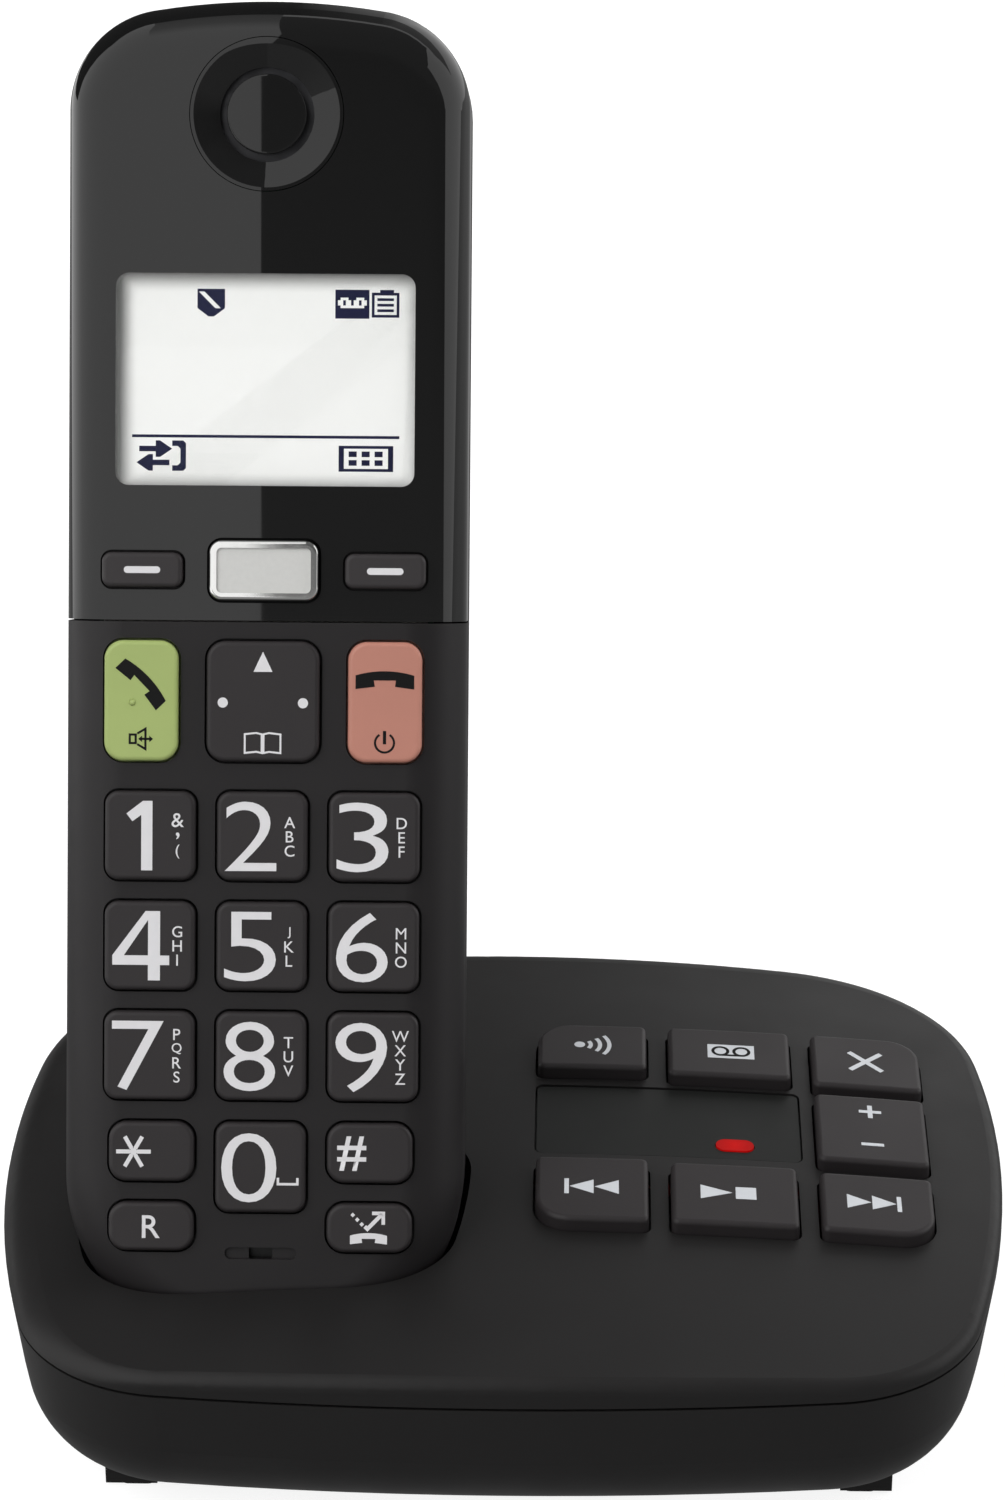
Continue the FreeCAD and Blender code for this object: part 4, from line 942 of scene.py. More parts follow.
def receiver_points(scale: float, shift: Point) -> list[Point]:
    """Outline of a resting telephone receiver, 6.9 mm long at scale 1.

    Args:
        scale: Its size.
        shift: How far it moves from the origin.

    Returns:
        The outline's points.
    """
    half, shoulder, crest, foot, inner = 3.45, 0.59, 1.09, -1.03, 1.3
    slant, step = 0.12, 0.29
    rise = crest - shoulder
    radius = (half ** 2 + rise ** 2) / (2 * rise)
    spread = math.degrees(math.asin(half / radius))
    top = arc_points((0, crest - radius), radius, 90 - spread, 90 + spread, 14)
    rest = [(-half, foot), (-inner + slant, foot + step), (-inner, 0), (inner, 0),
            (inner - slant, foot + step), (half, foot)]
    return [(x * scale + shift[0], y * scale + shift[1]) for x, y in top + rest]


def cross_points(across: float, along: float, half_width: float) -> list[Point]:
    """Outline of a slanting cross.

    Args:
        across: Half of its width.
        along: Half of its depth.
        half_width: Half of the width of its arms.

    Returns:
        The outline's points.
    """
    points = []
    corners = ((1, 1), (-1, 1), (-1, -1), (1, -1))
    inner = half_width * 1.45
    for index, (right, up) in enumerate(corners):
        arm = Vector((right * across, up * along))
        side = Vector((-arm.y, arm.x)).normalized() * half_width
        points += [tuple(arm - side), tuple(arm + side)]
        next_right, next_up = corners[(index + 1) % 4]
        points.append(((right + next_right) / 2 * inner, (up + next_up) / 2 * inner))
    return points


INKS = {ink: ink.value.material() for ink in Ink}


# ------------------------------------------------------------------ the handset

@dataclass
class HandsetFrame:
    """The handset's own axes, read from its joint, and the faces of its solids."""

    along: Vector = field(init=False)
    across: Vector = field(init=False)
    outward: Vector = field(init=False)
    lean: float = field(init=False)

    def __post_init__(self) -> None:
        """Read the axis on which the handset leaves its cradle."""
        lift = next(joint for joint in frame["joints"] if joint["child"] == "handset")
        self.along = Vector(lift["axis"]).normalized()
        self.across = Vector((1, 0, 0))
        self.outward = self.across.cross(self.along)
        self.lean = math.atan2(self.along.y, self.along.z)

    def face(self, node: str) -> Matrix:
        """Local frame in the middle of a solid's outermost face.

        Args:
            node: The solid.

        Returns:
            The frame, with Y along the handset and Z outwards.
        """
        points = [vertex.co for vertex in frame["nodes"][node].data.vertices]
        across = [point.dot(self.across) for point in points]
        along = [point.dot(self.along) for point in points]
        front = max(point.dot(self.outward) for point in points)
        middle = (self.across * (max(across) + min(across)) / 2
                  + self.along * (max(along) + min(along)) / 2
                  + self.outward * front)
        turn = Matrix((self.across, self.along, self.outward)).transposed().to_4x4()
        return Matrix.Translation(middle) @ turn

    def put(self, mark: Stencil, name: str, node: str, ink: Ink = Ink.LIGHT) -> None:
        """Print a mark in the middle of a solid's outermost face.

        Args:
            mark: The mark.
            name: Name of the piece.
            node: The solid.
            ink: The mark's ink.
        """
        mark.put(name, self.face(node), body_of(node), ink)


@dataclass
class Keypad:
    """Number keys with their figures and stacked letters, and the four keys around them."""

    axes: HandsetFrame
    figure_mm: float = 8.2
    figure_width_mm: float = 6.1
    figure_shift_mm: float = -1.35
    figure_weight: float = -0.007
    zero_widening: float = 1.07
    letter_mm: float = 1.32
    letter_pitch_mm: float = 1.68
    letter_shift_mm: float = 3.25
    letter_weight: float = 0.004
    letters: tuple[str, ...] = ("", "&,(", "ABC", "DEF", "GHI", "JKL", "MNO", "PQRS", "TUV", "WXYZ")
    comma_share: float = 0.6
    sign_share: float = 1.25
    sign_pitch_share: float = 1.1
    space_mm: tuple[float, float, float, float] = (2.1, 4.4, -1.9, -1.15)
    space_line_mm: float = 0.3
    sign_mm: float = 4.1
    sign_shift_mm: float = -2.1
    hash_weight: float = 0.012
    arm_half_width_mm: float = 0.24
    recall_mm: float = 2.7
    recall_weight: float = 0.006

    def build(self) -> None:
        """Print all the keys."""
        for digit in range(10):
            self.number(digit)
        self.star()
        sign = Stencil().text("#", self.sign_mm, (self.sign_shift_mm, 0), self.hash_weight)
        self.axes.put(sign, "hash_mark", "hash_key")
        letter = Stencil().text("R", self.recall_mm, (0, 0), self.recall_weight)
        self.axes.put(letter, "recall_mark", "recall_key")
        self.divert()

    def number(self, digit: int) -> None:
        """Print one number key.

        Args:
            digit: Its number.
        """
        mark = Stencil()
        if digit == 1:
            self.one(mark)
        elif digit == 4:
            self.four(mark)
        else:
            width = self.figure_width_mm * (self.zero_widening if digit == 0 else 1.0)
            mark.text(str(digit), self.figure_mm, (self.figure_shift_mm, 0), self.figure_weight,
                      width)
        self.stack(mark, self.letters[digit])
        if digit == 0:
            left, right, low, high = self.space_mm
            mark.line([(left, high), (left, low), (right, low), (right, high)], self.space_line_mm)
        self.axes.put(mark, f"figure_{digit}", f"digit_key_{digit}")

    def stack(self, mark: Stencil, letters: str) -> None:
        """Draw a key's letters one above the other. Signs differ from letters in height and pitch.

        Args:
            mark: The stencil they join.
            letters: The letters from the top.
        """
        for step, letter in enumerate(letters):
            height, pitch = self.letter_mm, self.letter_pitch_mm
            if not letter.isalpha():
                height *= self.comma_share if letter == "," else self.sign_share
                pitch *= self.sign_pitch_share
            weight = 0.0 if letter in "MW" else self.letter_weight
            level = ((len(letters) - 1) / 2 - step) * pitch
            mark.text(letter, height, (self.letter_shift_mm, level), weight)

    def one(self, mark: Stencil) -> None:
        """Draw the figure 1: a stem with a slanting flag.

        Args:
            mark: The stencil it joins.
        """
        half, right, left = self.figure_mm / 2, 0.27, -1.05
        tip, heel, root = (-2.8, half - 1.5), (-2.1, half - 2.42), (left, half - 1.65)
        mark.outline([(right, -half), (right, half), (left + 0.2, half), tip, heel, root,
                      (left, -half)])

    def four(self, mark: Stencil) -> None:
        """Draw the figure 4: a stem, a bar and a slanting leg with a flat top.

        Args:
            mark: The stencil it joins.
        """
        top, stem_left, stem_right = self.figure_mm / 2, -0.19, 1.23
        bar_left, bar_right, bar_low, bar_high = -4.4, 2.32, -2.28, -1.15
        leg, heel, cap = 1.36, 1.05, 0.3
        mark.bar(stem_left, stem_right, bar_high, top).bar(stem_left, stem_right, -top, bar_low)
        mark.bar(bar_left, bar_right, bar_low, bar_high)
        mark.outline([(bar_left, bar_high), (bar_left + leg, bar_high), (stem_left, top - heel),
                      (stem_left, top), (stem_left - cap, top)])

    def star(self) -> None:
        """Print the star: six arms on a small hub."""
        mark = Stencil()
        long, wide = self.sign_mm / 2, self.arm_half_width_mm
        for step in range(6):
            angle = math.radians(60 * step)
            way = Vector((math.cos(angle), math.sin(angle)))
            side = Vector((-way.y, way.x)) * wide
            root = way * wide / math.tan(math.radians(30))
            mark.outline([tuple(root - side), tuple(way * long - side), tuple(way * long + side),
                          tuple(root + side)])
        mark.disc((0, 0), wide / math.sin(math.radians(60)) * 1.74, 6)
        self.axes.put(mark.turned(0, (self.sign_shift_mm, 0)), "star_mark", "star_key")

    def divert(self) -> None:
        """Print the divert key: a dotted way that turns off upwards over a resting receiver."""
        dot_mm, way_mm, head_mm, receiver_scale = 0.28, 0.46, 0.42, 0.635
        mark = Stencil()
        for step in range(3):
            mark.disc((-1.92 + 0.53 * step, 1.62 - 0.55 * step), dot_mm, 4)
        mark.line([(-0.5, 0.27), (-0.19, -0.02), (1.55, 1.75)], way_mm)
        mark.line([(0.35, 1.84), (1.68, 1.84), (1.68, 0.5)], head_mm)
        mark.outline(receiver_points(receiver_scale, (-0.05, -1.2)))
        self.axes.put(mark, "divert_mark", "divert_key")


@dataclass
class CallKeys:
    """Call, end, menu and soft keys."""

    axes: HandsetFrame
    icon_line_mm: float = 0.26
    dash_mm: Point = (4.3, 0.8)
    plated_mm: float = 0.9
    touch_dot_mm: Point = (-1.0, -0.2)
    touch_dot_radius_mm: float = 0.42
    touch_dot_rise_mm: float = 0.22
    touch_dot_sunk_mm: float = 0.01
    touch_dot_taper: float = 0.55

    def build(self) -> None:
        """Print the keys and plate the menu key's frame."""
        self.call()
        self.end()
        self.navigation()
        top = self.axes.face("menu_key_frame").translation
        # The frame is chromed where it stands out, with painted shade of the gap below.
        chrome = ChromedAbs("menu_frame_chromed_abs_painted_gap_shade", "#f0f0ee", top=top, outward=self.axes.outward,
                            plated_mm=self.plated_mm)
        dress("menu_key_frame", chrome.material())
        for side in ("left", "right"):
            dash = Stencil().outline(pill_points(*self.dash_mm))
            self.axes.put(dash, f"soft_mark_{side}", f"soft_key_{side}")

    def call(self) -> None:
        """Print the call key: a lifted receiver and a loudspeaker with its arrows."""
        receiver = Stencil().outline(receiver_points(1.0, (0.0, -0.2))).turned(-46, (0.25, 2.2))
        self.axes.put(receiver, "call_mark", "call_key", Ink.DARK)
        speaker = Stencil()
        line = self.icon_line_mm
        speaker.line([(-1.3, -0.5), (-0.6, -0.5), (-0.6, 0.5), (-1.3, 0.5)], line, True)
        speaker.line([(-0.42, 0.62), (0.55, 1.2), (0.55, -1.2), (-0.42, -0.62)], line)
        speaker.bar(0.05, 1.1, -line / 2, line / 2)
        speaker.outline([(1.0, -0.38), (1.45, 0.0), (1.0, 0.38)])
        speaker.outline([(0.15, 0.38), (-0.3, 0.0), (0.15, -0.38)])
        self.axes.put(speaker.turned(0, (0, -4.5)), "handsfree_mark", "call_key", Ink.DARK)
        self.touch_dot()

    def touch_dot(self) -> None:
        """Raise a low dot of the call key's own plastic."""
        x, y = self.touch_dot_mm
        dot = Stencil().disc(self.touch_dot_mm, self.touch_dot_radius_mm, 24)
        for vertex in dot.flat.verts:
            vertex.co.z = -self.touch_dot_sunk_mm
        raised = bmesh.ops.extrude_face_region(dot.flat, geom=list(dot.flat.faces))["geom"]
        for item in raised:
            if isinstance(item, bmesh.types.BMVert):
                item.co.z += self.touch_dot_rise_mm
                item.co.x = x + (item.co.x - x) * self.touch_dot_taper
                item.co.y = y + (item.co.y - y) * self.touch_dot_taper
        piece = dot.put("call_touch_dot", self.axes.face("call_key"), body_of("call_key"), Ink.DARK,
                        0.0)
        piece.data.materials[0] = frame["nodes"]["call_key"].data.materials[0]
        piece.data.shade_smooth()

    def end(self) -> None:
        """Print the end key: a resting receiver and the on and off sign."""
        receiver = Stencil().outline(receiver_points(1.0, (0.0, 2.6)))
        self.axes.put(receiver, "end_mark", "end_key", Ink.DARK)
        sign = Stencil().line(arc_points((0, 0), 1.12, 122, 418, 28), self.icon_line_mm)
        sign.bar(-0.19, 0.19, -0.15, 1.42)
        self.axes.put(sign.turned(0, (0, -4.75)), "power_mark", "end_key", Ink.DARK)

    def navigation(self) -> None:
        """Print the rocker: an arrow, two dots and an open book."""
        mark = Stencil().outline([(-1.12, 3.5), (1.12, 3.5), (0, 5.87)])
        for side in (-1, 1):
            mark.disc((side * 4.72, -0.15), 0.6)
        half, low, high, line = 2.1, -6.05, -3.85, 0.22
        fold, bend = 0.11, 0.75
        for side in (-1, 1):
            page = [(side * fold, low), (side * fold, high), (side * bend, high + 0.16),
                    (side * half, high), (side * half, low), (side * bend, low + 0.14)]
            mark.line(page, line, True)
        self.axes.put(mark, "navigation_mark", "nav_key")


@dataclass
class Display:
    """Backlit display with its status signs, drawn in steps of about a dot of the real one."""

    axes: HandsetFrame
    colour: str = "#f3f1f0"
    half_width_mm: float = 17.5
    half_height_mm: float = 12.35
    step_mm: float = 0.325
    tape_step_mm: float = 0.309
    top_row_mm: float = 10.7
    shield_left_mm: float = -8.15
    tape_left_mm: float = 8.1
    cell_left_mm: float = 12.4
    rule_mm: Triple = (-15.8, 15.75, -6.47)
    rule_thick_mm: float = 0.34
    bottom_row_mm: float = -7.16
    redial_left_mm: float = -15.27
    lock_left_mm: float = 8.6
    lock_top_mm: float = -7.64

    SHIELD = (((0, 0), (10, 0), (10, 1), (0, 1)), ((0, 1), (0.5, 1), (6.5, 7), (0, 7)),
              ((2.5, 1), (10, 1), (10, 7), (8.5, 7)), ((0, 7), (10, 7), (6, 10), (4, 10)))
    REDIAL = (((1, 2), (7, 2), (7, 4), (1, 4)), ((7, 0), (8.6, 0), (13, 3), (8.6, 6), (7, 6)),
              ((6, 7), (12, 7), (12, 9), (6, 9)), ((6, 5), (6, 11), (4.4, 11), (0, 8), (4.4, 5)),
              ((13, 0), (17, 0), (18, 1), (18, 10), (17, 11), (13, 11), (13, 9), (15, 9), (16, 8),
               (16, 3), (15, 2), (13, 2)))

    def build(self) -> None:
        """Light the panel and draw its signs."""
        centre = self.axes.face("display_module").translation
        # The panel greys at its edge with painted shade, and its backlight glows.
        panel = BacklitPanel("display_backlit_panel_painted_edge_shade", self.colour, centre, self.axes.lean,
                             self.half_width_mm, self.half_height_mm)
        dress("display_module", panel.material())
        signs = Stencil()
        self.shapes(signs, self.SHIELD, self.shield_left_mm, self.top_row_mm, self.step_mm)
        self.tape(signs)
        self.cell(signs)
        left, right, top = self.rule_mm
        signs.bar(left, right, top - self.rule_thick_mm, top)
        self.shapes(signs, self.REDIAL, self.redial_left_mm, self.bottom_row_mm, self.step_mm)
        self.lock(signs)
        self.axes.put(signs, "display_signs", "display_module", Ink.PIXEL)

    def shapes(self, signs: Stencil, outlines: tuple, left: float, top: float, step: float) -> None:
        """Draw outlines given in steps from a sign's upper left corner.

        Args:
            signs: The stencil they join.
            outlines: The outlines' points, in steps to the right and down.
            left: The sign's left edge.
            top: Its top edge.
            step: Length of a step.
        """
        for points in outlines:
            signs.outline([(left + across * step, top - down * step) for across, down in points])

    def tape(self, signs: Stencil) -> None:
        """Draw the answering sign: a dark plate that leaves two joined rings clear.

        Args:
            signs: The stencil it joins.
        """
        plates = ((0, 13, 0, 3), (0, 13, 7, 11), (0, 1, 3, 7), (12, 13, 3, 7), (1, 2, 3, 4),
                  (1, 2, 6, 7), (5, 8, 3, 4), (6, 7, 4, 6), (11, 12, 3, 4), (11, 12, 6, 7),
                  (3, 4, 4, 6), (9, 10, 4, 6))
        outlines = tuple(((left, top), (right, top), (right, foot), (left, foot))
                         for left, right, top, foot in plates)
        self.shapes(signs, outlines, self.tape_left_mm, self.top_row_mm, self.tape_step_mm)

    def cell(self, signs: Stencil) -> None:
        """Draw the charge sign: an upright cell with three bars in it.

        Args:
            signs: The stencil it joins.
        """
        thin, left, top = self.step_mm, self.cell_left_mm, self.top_row_mm
        size = 10 * thin
        low, high = top - size, top - thin
        signs.bar(left + 3 * thin, left + 8 * thin, high, top)
        signs.bar(left, left + size, high - thin, high).bar(left, left + size, low, low + thin)
        for edge in (left, left + size - thin):
            signs.bar(edge, edge + thin, low + thin, high - thin)
        for level in (3, 5, 7):
            signs.bar(left + 2 * thin, left + 8 * thin, top - (level + 1) * thin,
                      top - level * thin)

    def lock(self, signs: Stencil) -> None:
        """Draw the key-lock sign: a frame around six small keys.

        Args:
            signs: The stencil it joins.
        """
        wide, tall, side, edge = 6.44, 3.05, 0.62, 0.34
        first, pitch, key_wide, key_tall = 1.18, 1.53, 0.95, 0.66
        left, top = self.lock_left_mm, self.lock_top_mm
        right, low = left + wide, top - tall
        signs.bar(left, left + side, low, top).bar(right - side, right, low, top)
        signs.bar(left + side, right - side, top - edge, top)
        signs.bar(left + side, right - side, low, low + edge)
        for column in range(3):
            start = left + first + pitch * column
            for level in (top - 1.32, top - 2.34):
                signs.bar(start, start + key_wide, level, level + key_tall)


# ------------------------------------------------------------------ the base

@dataclass
class BaseKeys:
    """Message keys with their printed signs."""

    bar_mm: float = 0.55
    triangle_mm: Point = (2.95, 2.8)
    first_triangle_mm: float = -3.35
    second_triangle_mm: float = -0.3
    cross_mm: Triple = (2.02, 2.08, 0.35)
    wave_line_mm: float = 0.52
    ring_line_mm: float = 0.4
    ring_ink_mm: float = 0.035

    def build(self) -> None:
        """Print all the keys."""
        self.paging()
        self.cassette()
        self.put(Stencil().outline(cross_points(*self.cross_mm)), "delete_mark", "delete_key")
        self.skip("previous_mark", "previous_key", -1, -0.1)
        self.skip("next_mark", "next_key", 1, -0.35)
        play = Stencil().outline([(-4.15, -1.4), (-0.25, 0.0), (-4.15, 1.4)])
        self.put(play.bar(0.1, 2.6, -1.2, 1.2), "play_mark", "play_key")
        volume = Stencil().bar(-0.3, 0.3, 2.2, 5.0).bar(-1.4, -0.3, 3.3, 3.9)
        volume.bar(0.3, 1.4, 3.3, 3.9).bar(-1.4, 1.4, -3.9, -3.3)
        self.put(volume, "volume_mark", "volume_key")

    def put(self, mark: Stencil, name: str, node: str, ink: Ink = Ink.ICON,
            lift_mm: float = 0.02) -> None:
        """Print a mark on the middle of a key's crowned top, drawn level with the table.

        Args:
            mark: The mark.
            name: Name of the piece.
            node: The key.
            ink: The mark's ink.
            lift_mm: Thickness of the ink.
        """
        low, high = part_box(node)
        place = Matrix.Translation(((low.x + high.x) / 2, (low.y + high.y) / 2, high.z))
        mark.put(name, place, body_of(node), ink, lift_mm, node)

    def paging(self) -> None:
        """Print a dot with three waves."""
        centre, first, pitch = (-1.6, 0), 1.4, 1.18
        mark = Stencil().disc(centre, 0.68, 24)
        for step in range(3):
            mark.line(arc_points(centre, first + pitch * step, -36, 36, 12), self.wave_line_mm)
        self.put(mark, "paging_mark", "paging_key")

    def cassette(self) -> None:
        """Print a cassette: a pale plate with two dark rings on a dark line."""
        self.put(Stencil().bar(-2.7, 3.2, -1.6, 1.6), "cassette_plate_mark", "answer_key")
        middle, reel, radius = 0.25, 1.33, 0.95
        rings = Stencil()
        for side in (-1, 1):
            circle = arc_points((middle + side * reel, 0.05), radius, 0, 360, 28)[:-1]
            rings.line(circle, self.ring_line_mm, True)
        rings.bar(middle - reel, middle + reel, -1.1, -0.7)
        self.put(rings, "cassette_ring_mark", "answer_key", Ink.DARK, self.ring_ink_mm)

    def skip(self, name: str, node: str, way: int, shift: float) -> None:
        """Print two triangles that point at a bar.

        Args:
            name: Name of the piece.
            node: The key.
            way: 1 for forwards, -1 for backwards.
            shift: How far the mark stands from the middle of the key.
        """
        long, tall = self.triangle_mm
        gap, overhang = 0.05, 0.12
        mark = Stencil()
        for start in (self.first_triangle_mm, self.second_triangle_mm):
            mark.outline([(way * start + shift, -tall / 2), (way * (start + long) + shift, 0),
                          (way * start + shift, tall / 2)])
        edge = self.second_triangle_mm + long + gap
        low, high = sorted((way * edge, way * (edge + self.bar_mm)))
        mark.bar(low + shift, high + shift, -tall / 2 - overhang, tall / 2 + overhang)
        self.put(mark, name, node)


@dataclass
class MessageLight:
    """Red light in the bare window."""

    colour: str = "#dc0e0c"
    glow: float = 0.55

    def build(self) -> None:
        """Light the pipe."""
        low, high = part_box("message_light")
        centre = Vector(((low.x + high.x) / 2, (low.y + high.y) / 2, high.z))
        pipe = LitPolycarbonate("message_light_polycarbonate_red", self.colour, self.glow, centre,
                                (high.x - low.x) / 2 / MM)
        dress("message_light", pipe.material())


# ------------------------------------------------------------------ studio

def level_corners(across: Point, along: Point, height: float) -> Corners:
    """Give the corners of a level rectangle.

    Args:
        across: Its limits along X, in metres.
        along: Its limits along Y.
        height: Its height.

    Returns:
        The four corners.
    """
    (left, right), (near, far) = across, along
    return (left, near, height), (right, near, height), (right, far, height), (left, far, height)


@dataclass
class Studio:
    """Floor, surroundings, lamps, cards and the camera. Lengths not named *_mm are metres."""

    camera_mm: Triple = (8.776, -500.18, 352.51)
    target_mm: Triple = (-0.107, 0.0, 80.89)
    lens_mm: float = 114.9
    lamps: tuple[tuple[str, Triple, float, float], ...] = (
        ("key_lamp", (-700, -650, 950), 0.8, 9.0),
        ("side_lamp", (900, 100, 700), 0.6, 5.0),
        ("rear_lamp", (-200, 900, 800), 0.7, 5.0),
    )
    lamp_target_mm: Triple = (0.0, 0.0, 60.0)
    fill: float = 0.5
    floor_reach: float = 3.0
    floor_paper: str = "#959595"
    floor_glow: float = 0.87
    front: float = -0.64
    back: float = 0.9
    over: float = 3.0
    dark_left: Point = (-0.062, -0.165)
    dark_right: float = 2.6
    over_back: float = 1.55
    sky: tuple[Point, Point] = ((-0.9, -0.165), (0.0, 3.0))
    grey_left: float = -0.66
    grey_top: Point = (0.34, 0.1)
    rear_half_width: float = 1.6
    rear_levels: Triple = (0.0, 0.72, 1.5)
    floor_card: Point = (-0.3, 1.3)
    floor_card_height: float = 0.0004
    dark_stops: Stops = ((0.33, "#7c7c7c"), (0.58, "#535353"), (1.0, "#535353"), (1.2, "#606060"))
    over_stops: Stops = ((-0.64, "#606060"), (1.55, "#606060"))
    sky_stops: Stops = ((0.0, "#ffffff"), (0.8, "#c0c0c0"), (2.0, "#909090"))
    grey_stops: Stops = ((-0.66, "#a0a0a0"), (-0.4, "#8c8c8c"))
    rear_stops: Stops = ((-0.06, "#303030"), (0.22, "#ffffff"))
    upper_stops: Stops = ((-0.06, "#2c2c2c"), (0.3, "#909090"))
    floor_stops: Stops = ((0.2, "#868686"), (0.45, "#a4a4a4"))

    def build(self) -> None:
        """Set up the studio."""
        self.surroundings()
        self.floor()
        for lamp in self.lamps:
            self.lamp(*lamp)
        self.cards()
        self.camera()
        bpy.context.scene.view_settings.view_transform = "Standard"

    def seen(self, tree: Tree) -> Socket:
        """Tell what is seen, mirrored or behind glass from light that scatters.

        Args:
            tree: The node tree.

        Returns:
            1 for a ray from the camera, a mirror or glass, and 0 for any other.
        """
        path = add_node(tree, "ShaderNodeLightPath")
        share = path.outputs["Is Camera Ray"]
        for ray in ("Is Glossy Ray", "Is Transmission Ray"):
            share = add_node(tree, "ShaderNodeMath", {0: share, 1: path.outputs[ray]},
                             operation="MAXIMUM").outputs[0]
        return share

    def surroundings(self) -> None:
        """White where it is seen or mirrored, and a softer light elsewhere."""
        world = bpy.data.worlds.new("studio")
        bpy.context.scene.world = world
        world.use_nodes = True
        tree = world.node_tree
        tree.nodes.clear()
        light, white = (add_node(tree, "ShaderNodeBackground",
                                 {"Color": linear("#ffffff"), "Strength": strength})
                        for strength in (self.fill, 1.0))
        mixed = add_node(tree, "ShaderNodeMixShader",
                         {0: self.seen(tree), 1: light.outputs[0], 2: white.outputs[0]})
        add_node(tree, "ShaderNodeOutputWorld", {"Surface": mixed.outputs[0]})

    def floor(self) -> None:
        """Lay a pale floor that looks white where it is seen or mirrored, but takes a shadow."""
        material, tree = new_tree("studio_floor_pale_paper")
        paper = add_node(tree, "ShaderNodeBsdfDiffuse", {"Color": linear(self.floor_paper)})
        glow = add_node(tree, "ShaderNodeEmission",
                        {"Color": linear("#ffffff"), "Strength": self.floor_glow})
        added = add_node(tree, "ShaderNodeAddShader", {0: paper.outputs[0], 1: glow.outputs[0]})
        mixed = add_node(tree, "ShaderNodeMixShader",
                         {0: self.seen(tree), 1: paper.outputs[0], 2: added.outputs[0]})
        add_node(tree, "ShaderNodeOutputMaterial", {"Surface": mixed.outputs[0]})
        limits = (-self.floor_reach, self.floor_reach)
        self.sheet("studio_floor", level_corners(limits, limits, 0), material)

    def sheet(self, name: str, corners: Corners, material: bpy.types.Material) -> bpy.types.Object:
        """Make a flat four-cornered sheet of the studio.

        Args:
            name: Its name.
            corners: Its corners in metres.
            material: Its material.

        Returns:
            The sheet.
        """
        mesh = bpy.data.meshes.new(name)
        mesh.from_pydata(corners, [], [(0, 1, 2, 3)])
        mesh.materials.append(material)
        sheet = add_object(name, mesh)
        return sheet

    def cards(self) -> None:
        """Hang the cards that only mirrors see.

        The dark one beside the camera darkens half of the gloss plate, with a sharp edge, and the
        one overhead carries that edge on round the handset's top. The small grey one tones the ear
        ring's upper right, and the sky card the plate's rolled top. The two behind the object are
        dark on the left and light on the right, so that the crowned top grows lighter to the rear
        right. The one on the floor keeps the walls of the base dark.
        """
        foot, head = self.dark_left
        front, back, over, right = self.front, self.back, self.over, self.dark_right
        self.card("studio_dark_card", "Z", self.dark_stops,
                  ((foot, front, 0), (right, front, 0), (right, front, over), (head, front, over)))
        self.card("studio_overhead_card", "Y", self.over_stops,
                  level_corners((head, right), (front, self.over_back), over))
        self.card("studio_sky_card", "Y", self.sky_stops, level_corners(*self.sky, over))
        left, (left_top, right_top) = self.grey_left, self.grey_top
        self.card("studio_grey_card", "X", self.grey_stops,
                  ((left, front, 0), (foot, front, 0), (foot, front, right_top),
                   (left, front, left_top)))
        side, (low, middle, high) = self.rear_half_width, self.rear_levels
        self.card("studio_rear_card", "X", self.rear_stops,
                  ((-side, back, low), (side, back, low), (side, back, middle),
                   (-side, back, middle)))
        self.card("studio_upper_rear_card", "X", self.upper_stops,
                  ((-side, back, middle), (side, back, middle), (side, back, high),
                   (-side, back, high)))
        self.card("studio_floor_card", "X", self.floor_stops,
                  level_corners(self.floor_card, (front, back), self.floor_card_height))

    def graded(self, name: str, axis: str, stops: Stops) -> bpy.types.Material:
        """Make a card's material, whose brightness changes along one axis in any light.

        Args:
            name: Name of the material.
            axis: The axis, X, Y or Z.
            stops: Places in metres along the axis, and the colour at each.

        Returns:
            The material.
        """
        material, tree = new_tree(name)
        place = add_node(tree, "ShaderNodeTexCoord").outputs["Object"]
        parts = add_node(tree, "ShaderNodeSeparateXYZ", {"Vector": place})
        start, end = stops[0][0], stops[-1][0]
        share = add_node(tree, "ShaderNodeMapRange",
                         {"Value": parts.outputs[axis], "From Min": start, "From Max": end})
        ramp = add_node(tree, "ShaderNodeValToRGB", {"Fac": share.outputs["Result"]})
        marks = ramp.color_ramp.elements
        while len(marks) < len(stops):
            marks.new(0.5)
        for mark, (where, colour) in zip(marks, stops):
            mark.position = (where - start) / (end - start)
            mark.color = linear(colour)
        face = add_node(tree, "ShaderNodeEmission",
                        {"Color": ramp.outputs["Color"], "Strength": 1.0})
        add_node(tree, "ShaderNodeOutputMaterial", {"Surface": face.outputs[0]})
        return material

    def card(self, name: str, axis: str, stops: Stops, corners: Corners) -> None:
        """Hang one card.

        Args:
            name: Name of the card and its material.
            axis: The axis along which its brightness changes.
            stops: Places in metres along the axis, and the colour at each.
            corners: Its four corners in metres.
        """
        card = self.sheet(name, corners, self.graded(name, axis, stops))
        card.visible_camera = False
        card.visible_diffuse = False
        card.visible_transmission = False
        card.visible_shadow = False

    def lamp(self, name: str, place_mm: Triple, size: float, power: float) -> None:
        """Hang a square soft lamp that faces the object.

        Args:
            name: Name of the lamp.
            place_mm: Where it hangs.
            size: Side of its square.
            power: Power in watts.
        """
        light = bpy.data.lights.new(name, "AREA")
        light.size = size
        light.energy = power
        lamp = add_object(name, light)
        lamp.visible_glossy = False
        point_at(lamp, place_mm, self.lamp_target_mm)

    def camera(self) -> None:
        """Set the camera."""
        lens = bpy.data.cameras.new("camera")
        lens.lens = self.lens_mm
        lens.clip_start = 0.01
        camera = add_object("camera", lens)
        point_at(camera, self.camera_mm, self.target_mm)
        bpy.context.scene.camera = camera


# ------------------------------------------------------------------ all together

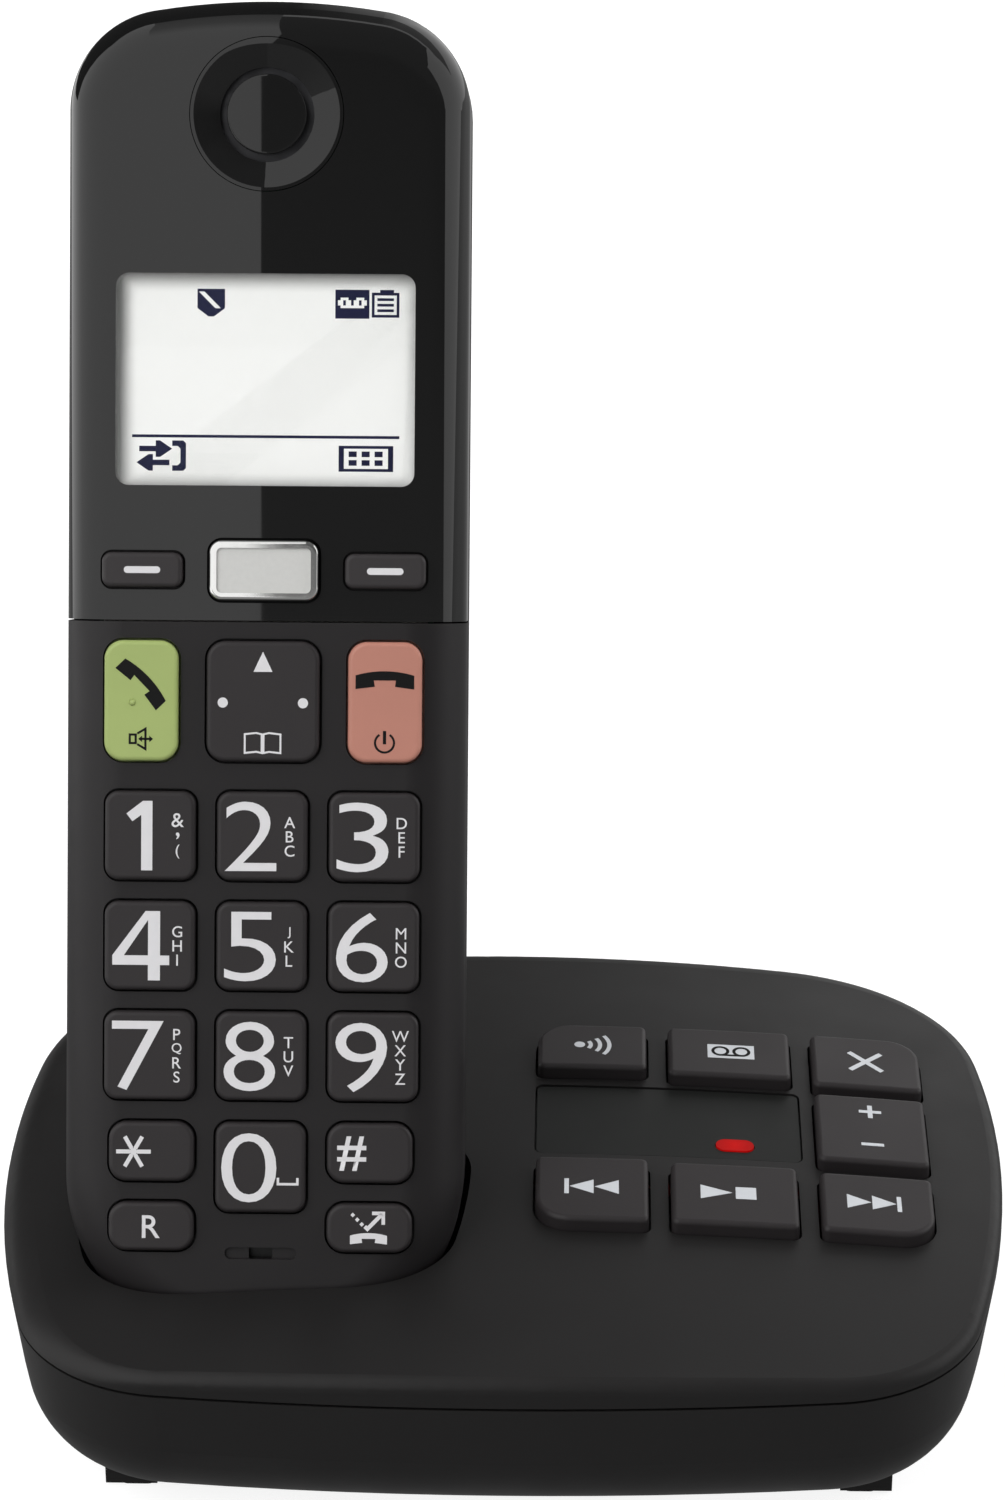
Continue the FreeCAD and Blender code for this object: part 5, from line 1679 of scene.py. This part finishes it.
def main() -> None:
    """Dress the solids, print the marks and set up the studio."""
    logging.basicConfig(level=logging.INFO, format="%(message)s")
    Studio().build()
    for finish, nodes in FINISHES.items():
        material = finish.material()
        for node in nodes:
            dress(node, material)
            LOG.info("%s: %s", node, finish.name)
    axes = HandsetFrame()
    Keypad(axes).build()
    CallKeys(axes).build()
    Display(axes).build()
    BaseKeys().build()
    MessageLight().build()


if __name__ == "__main__":
    main()
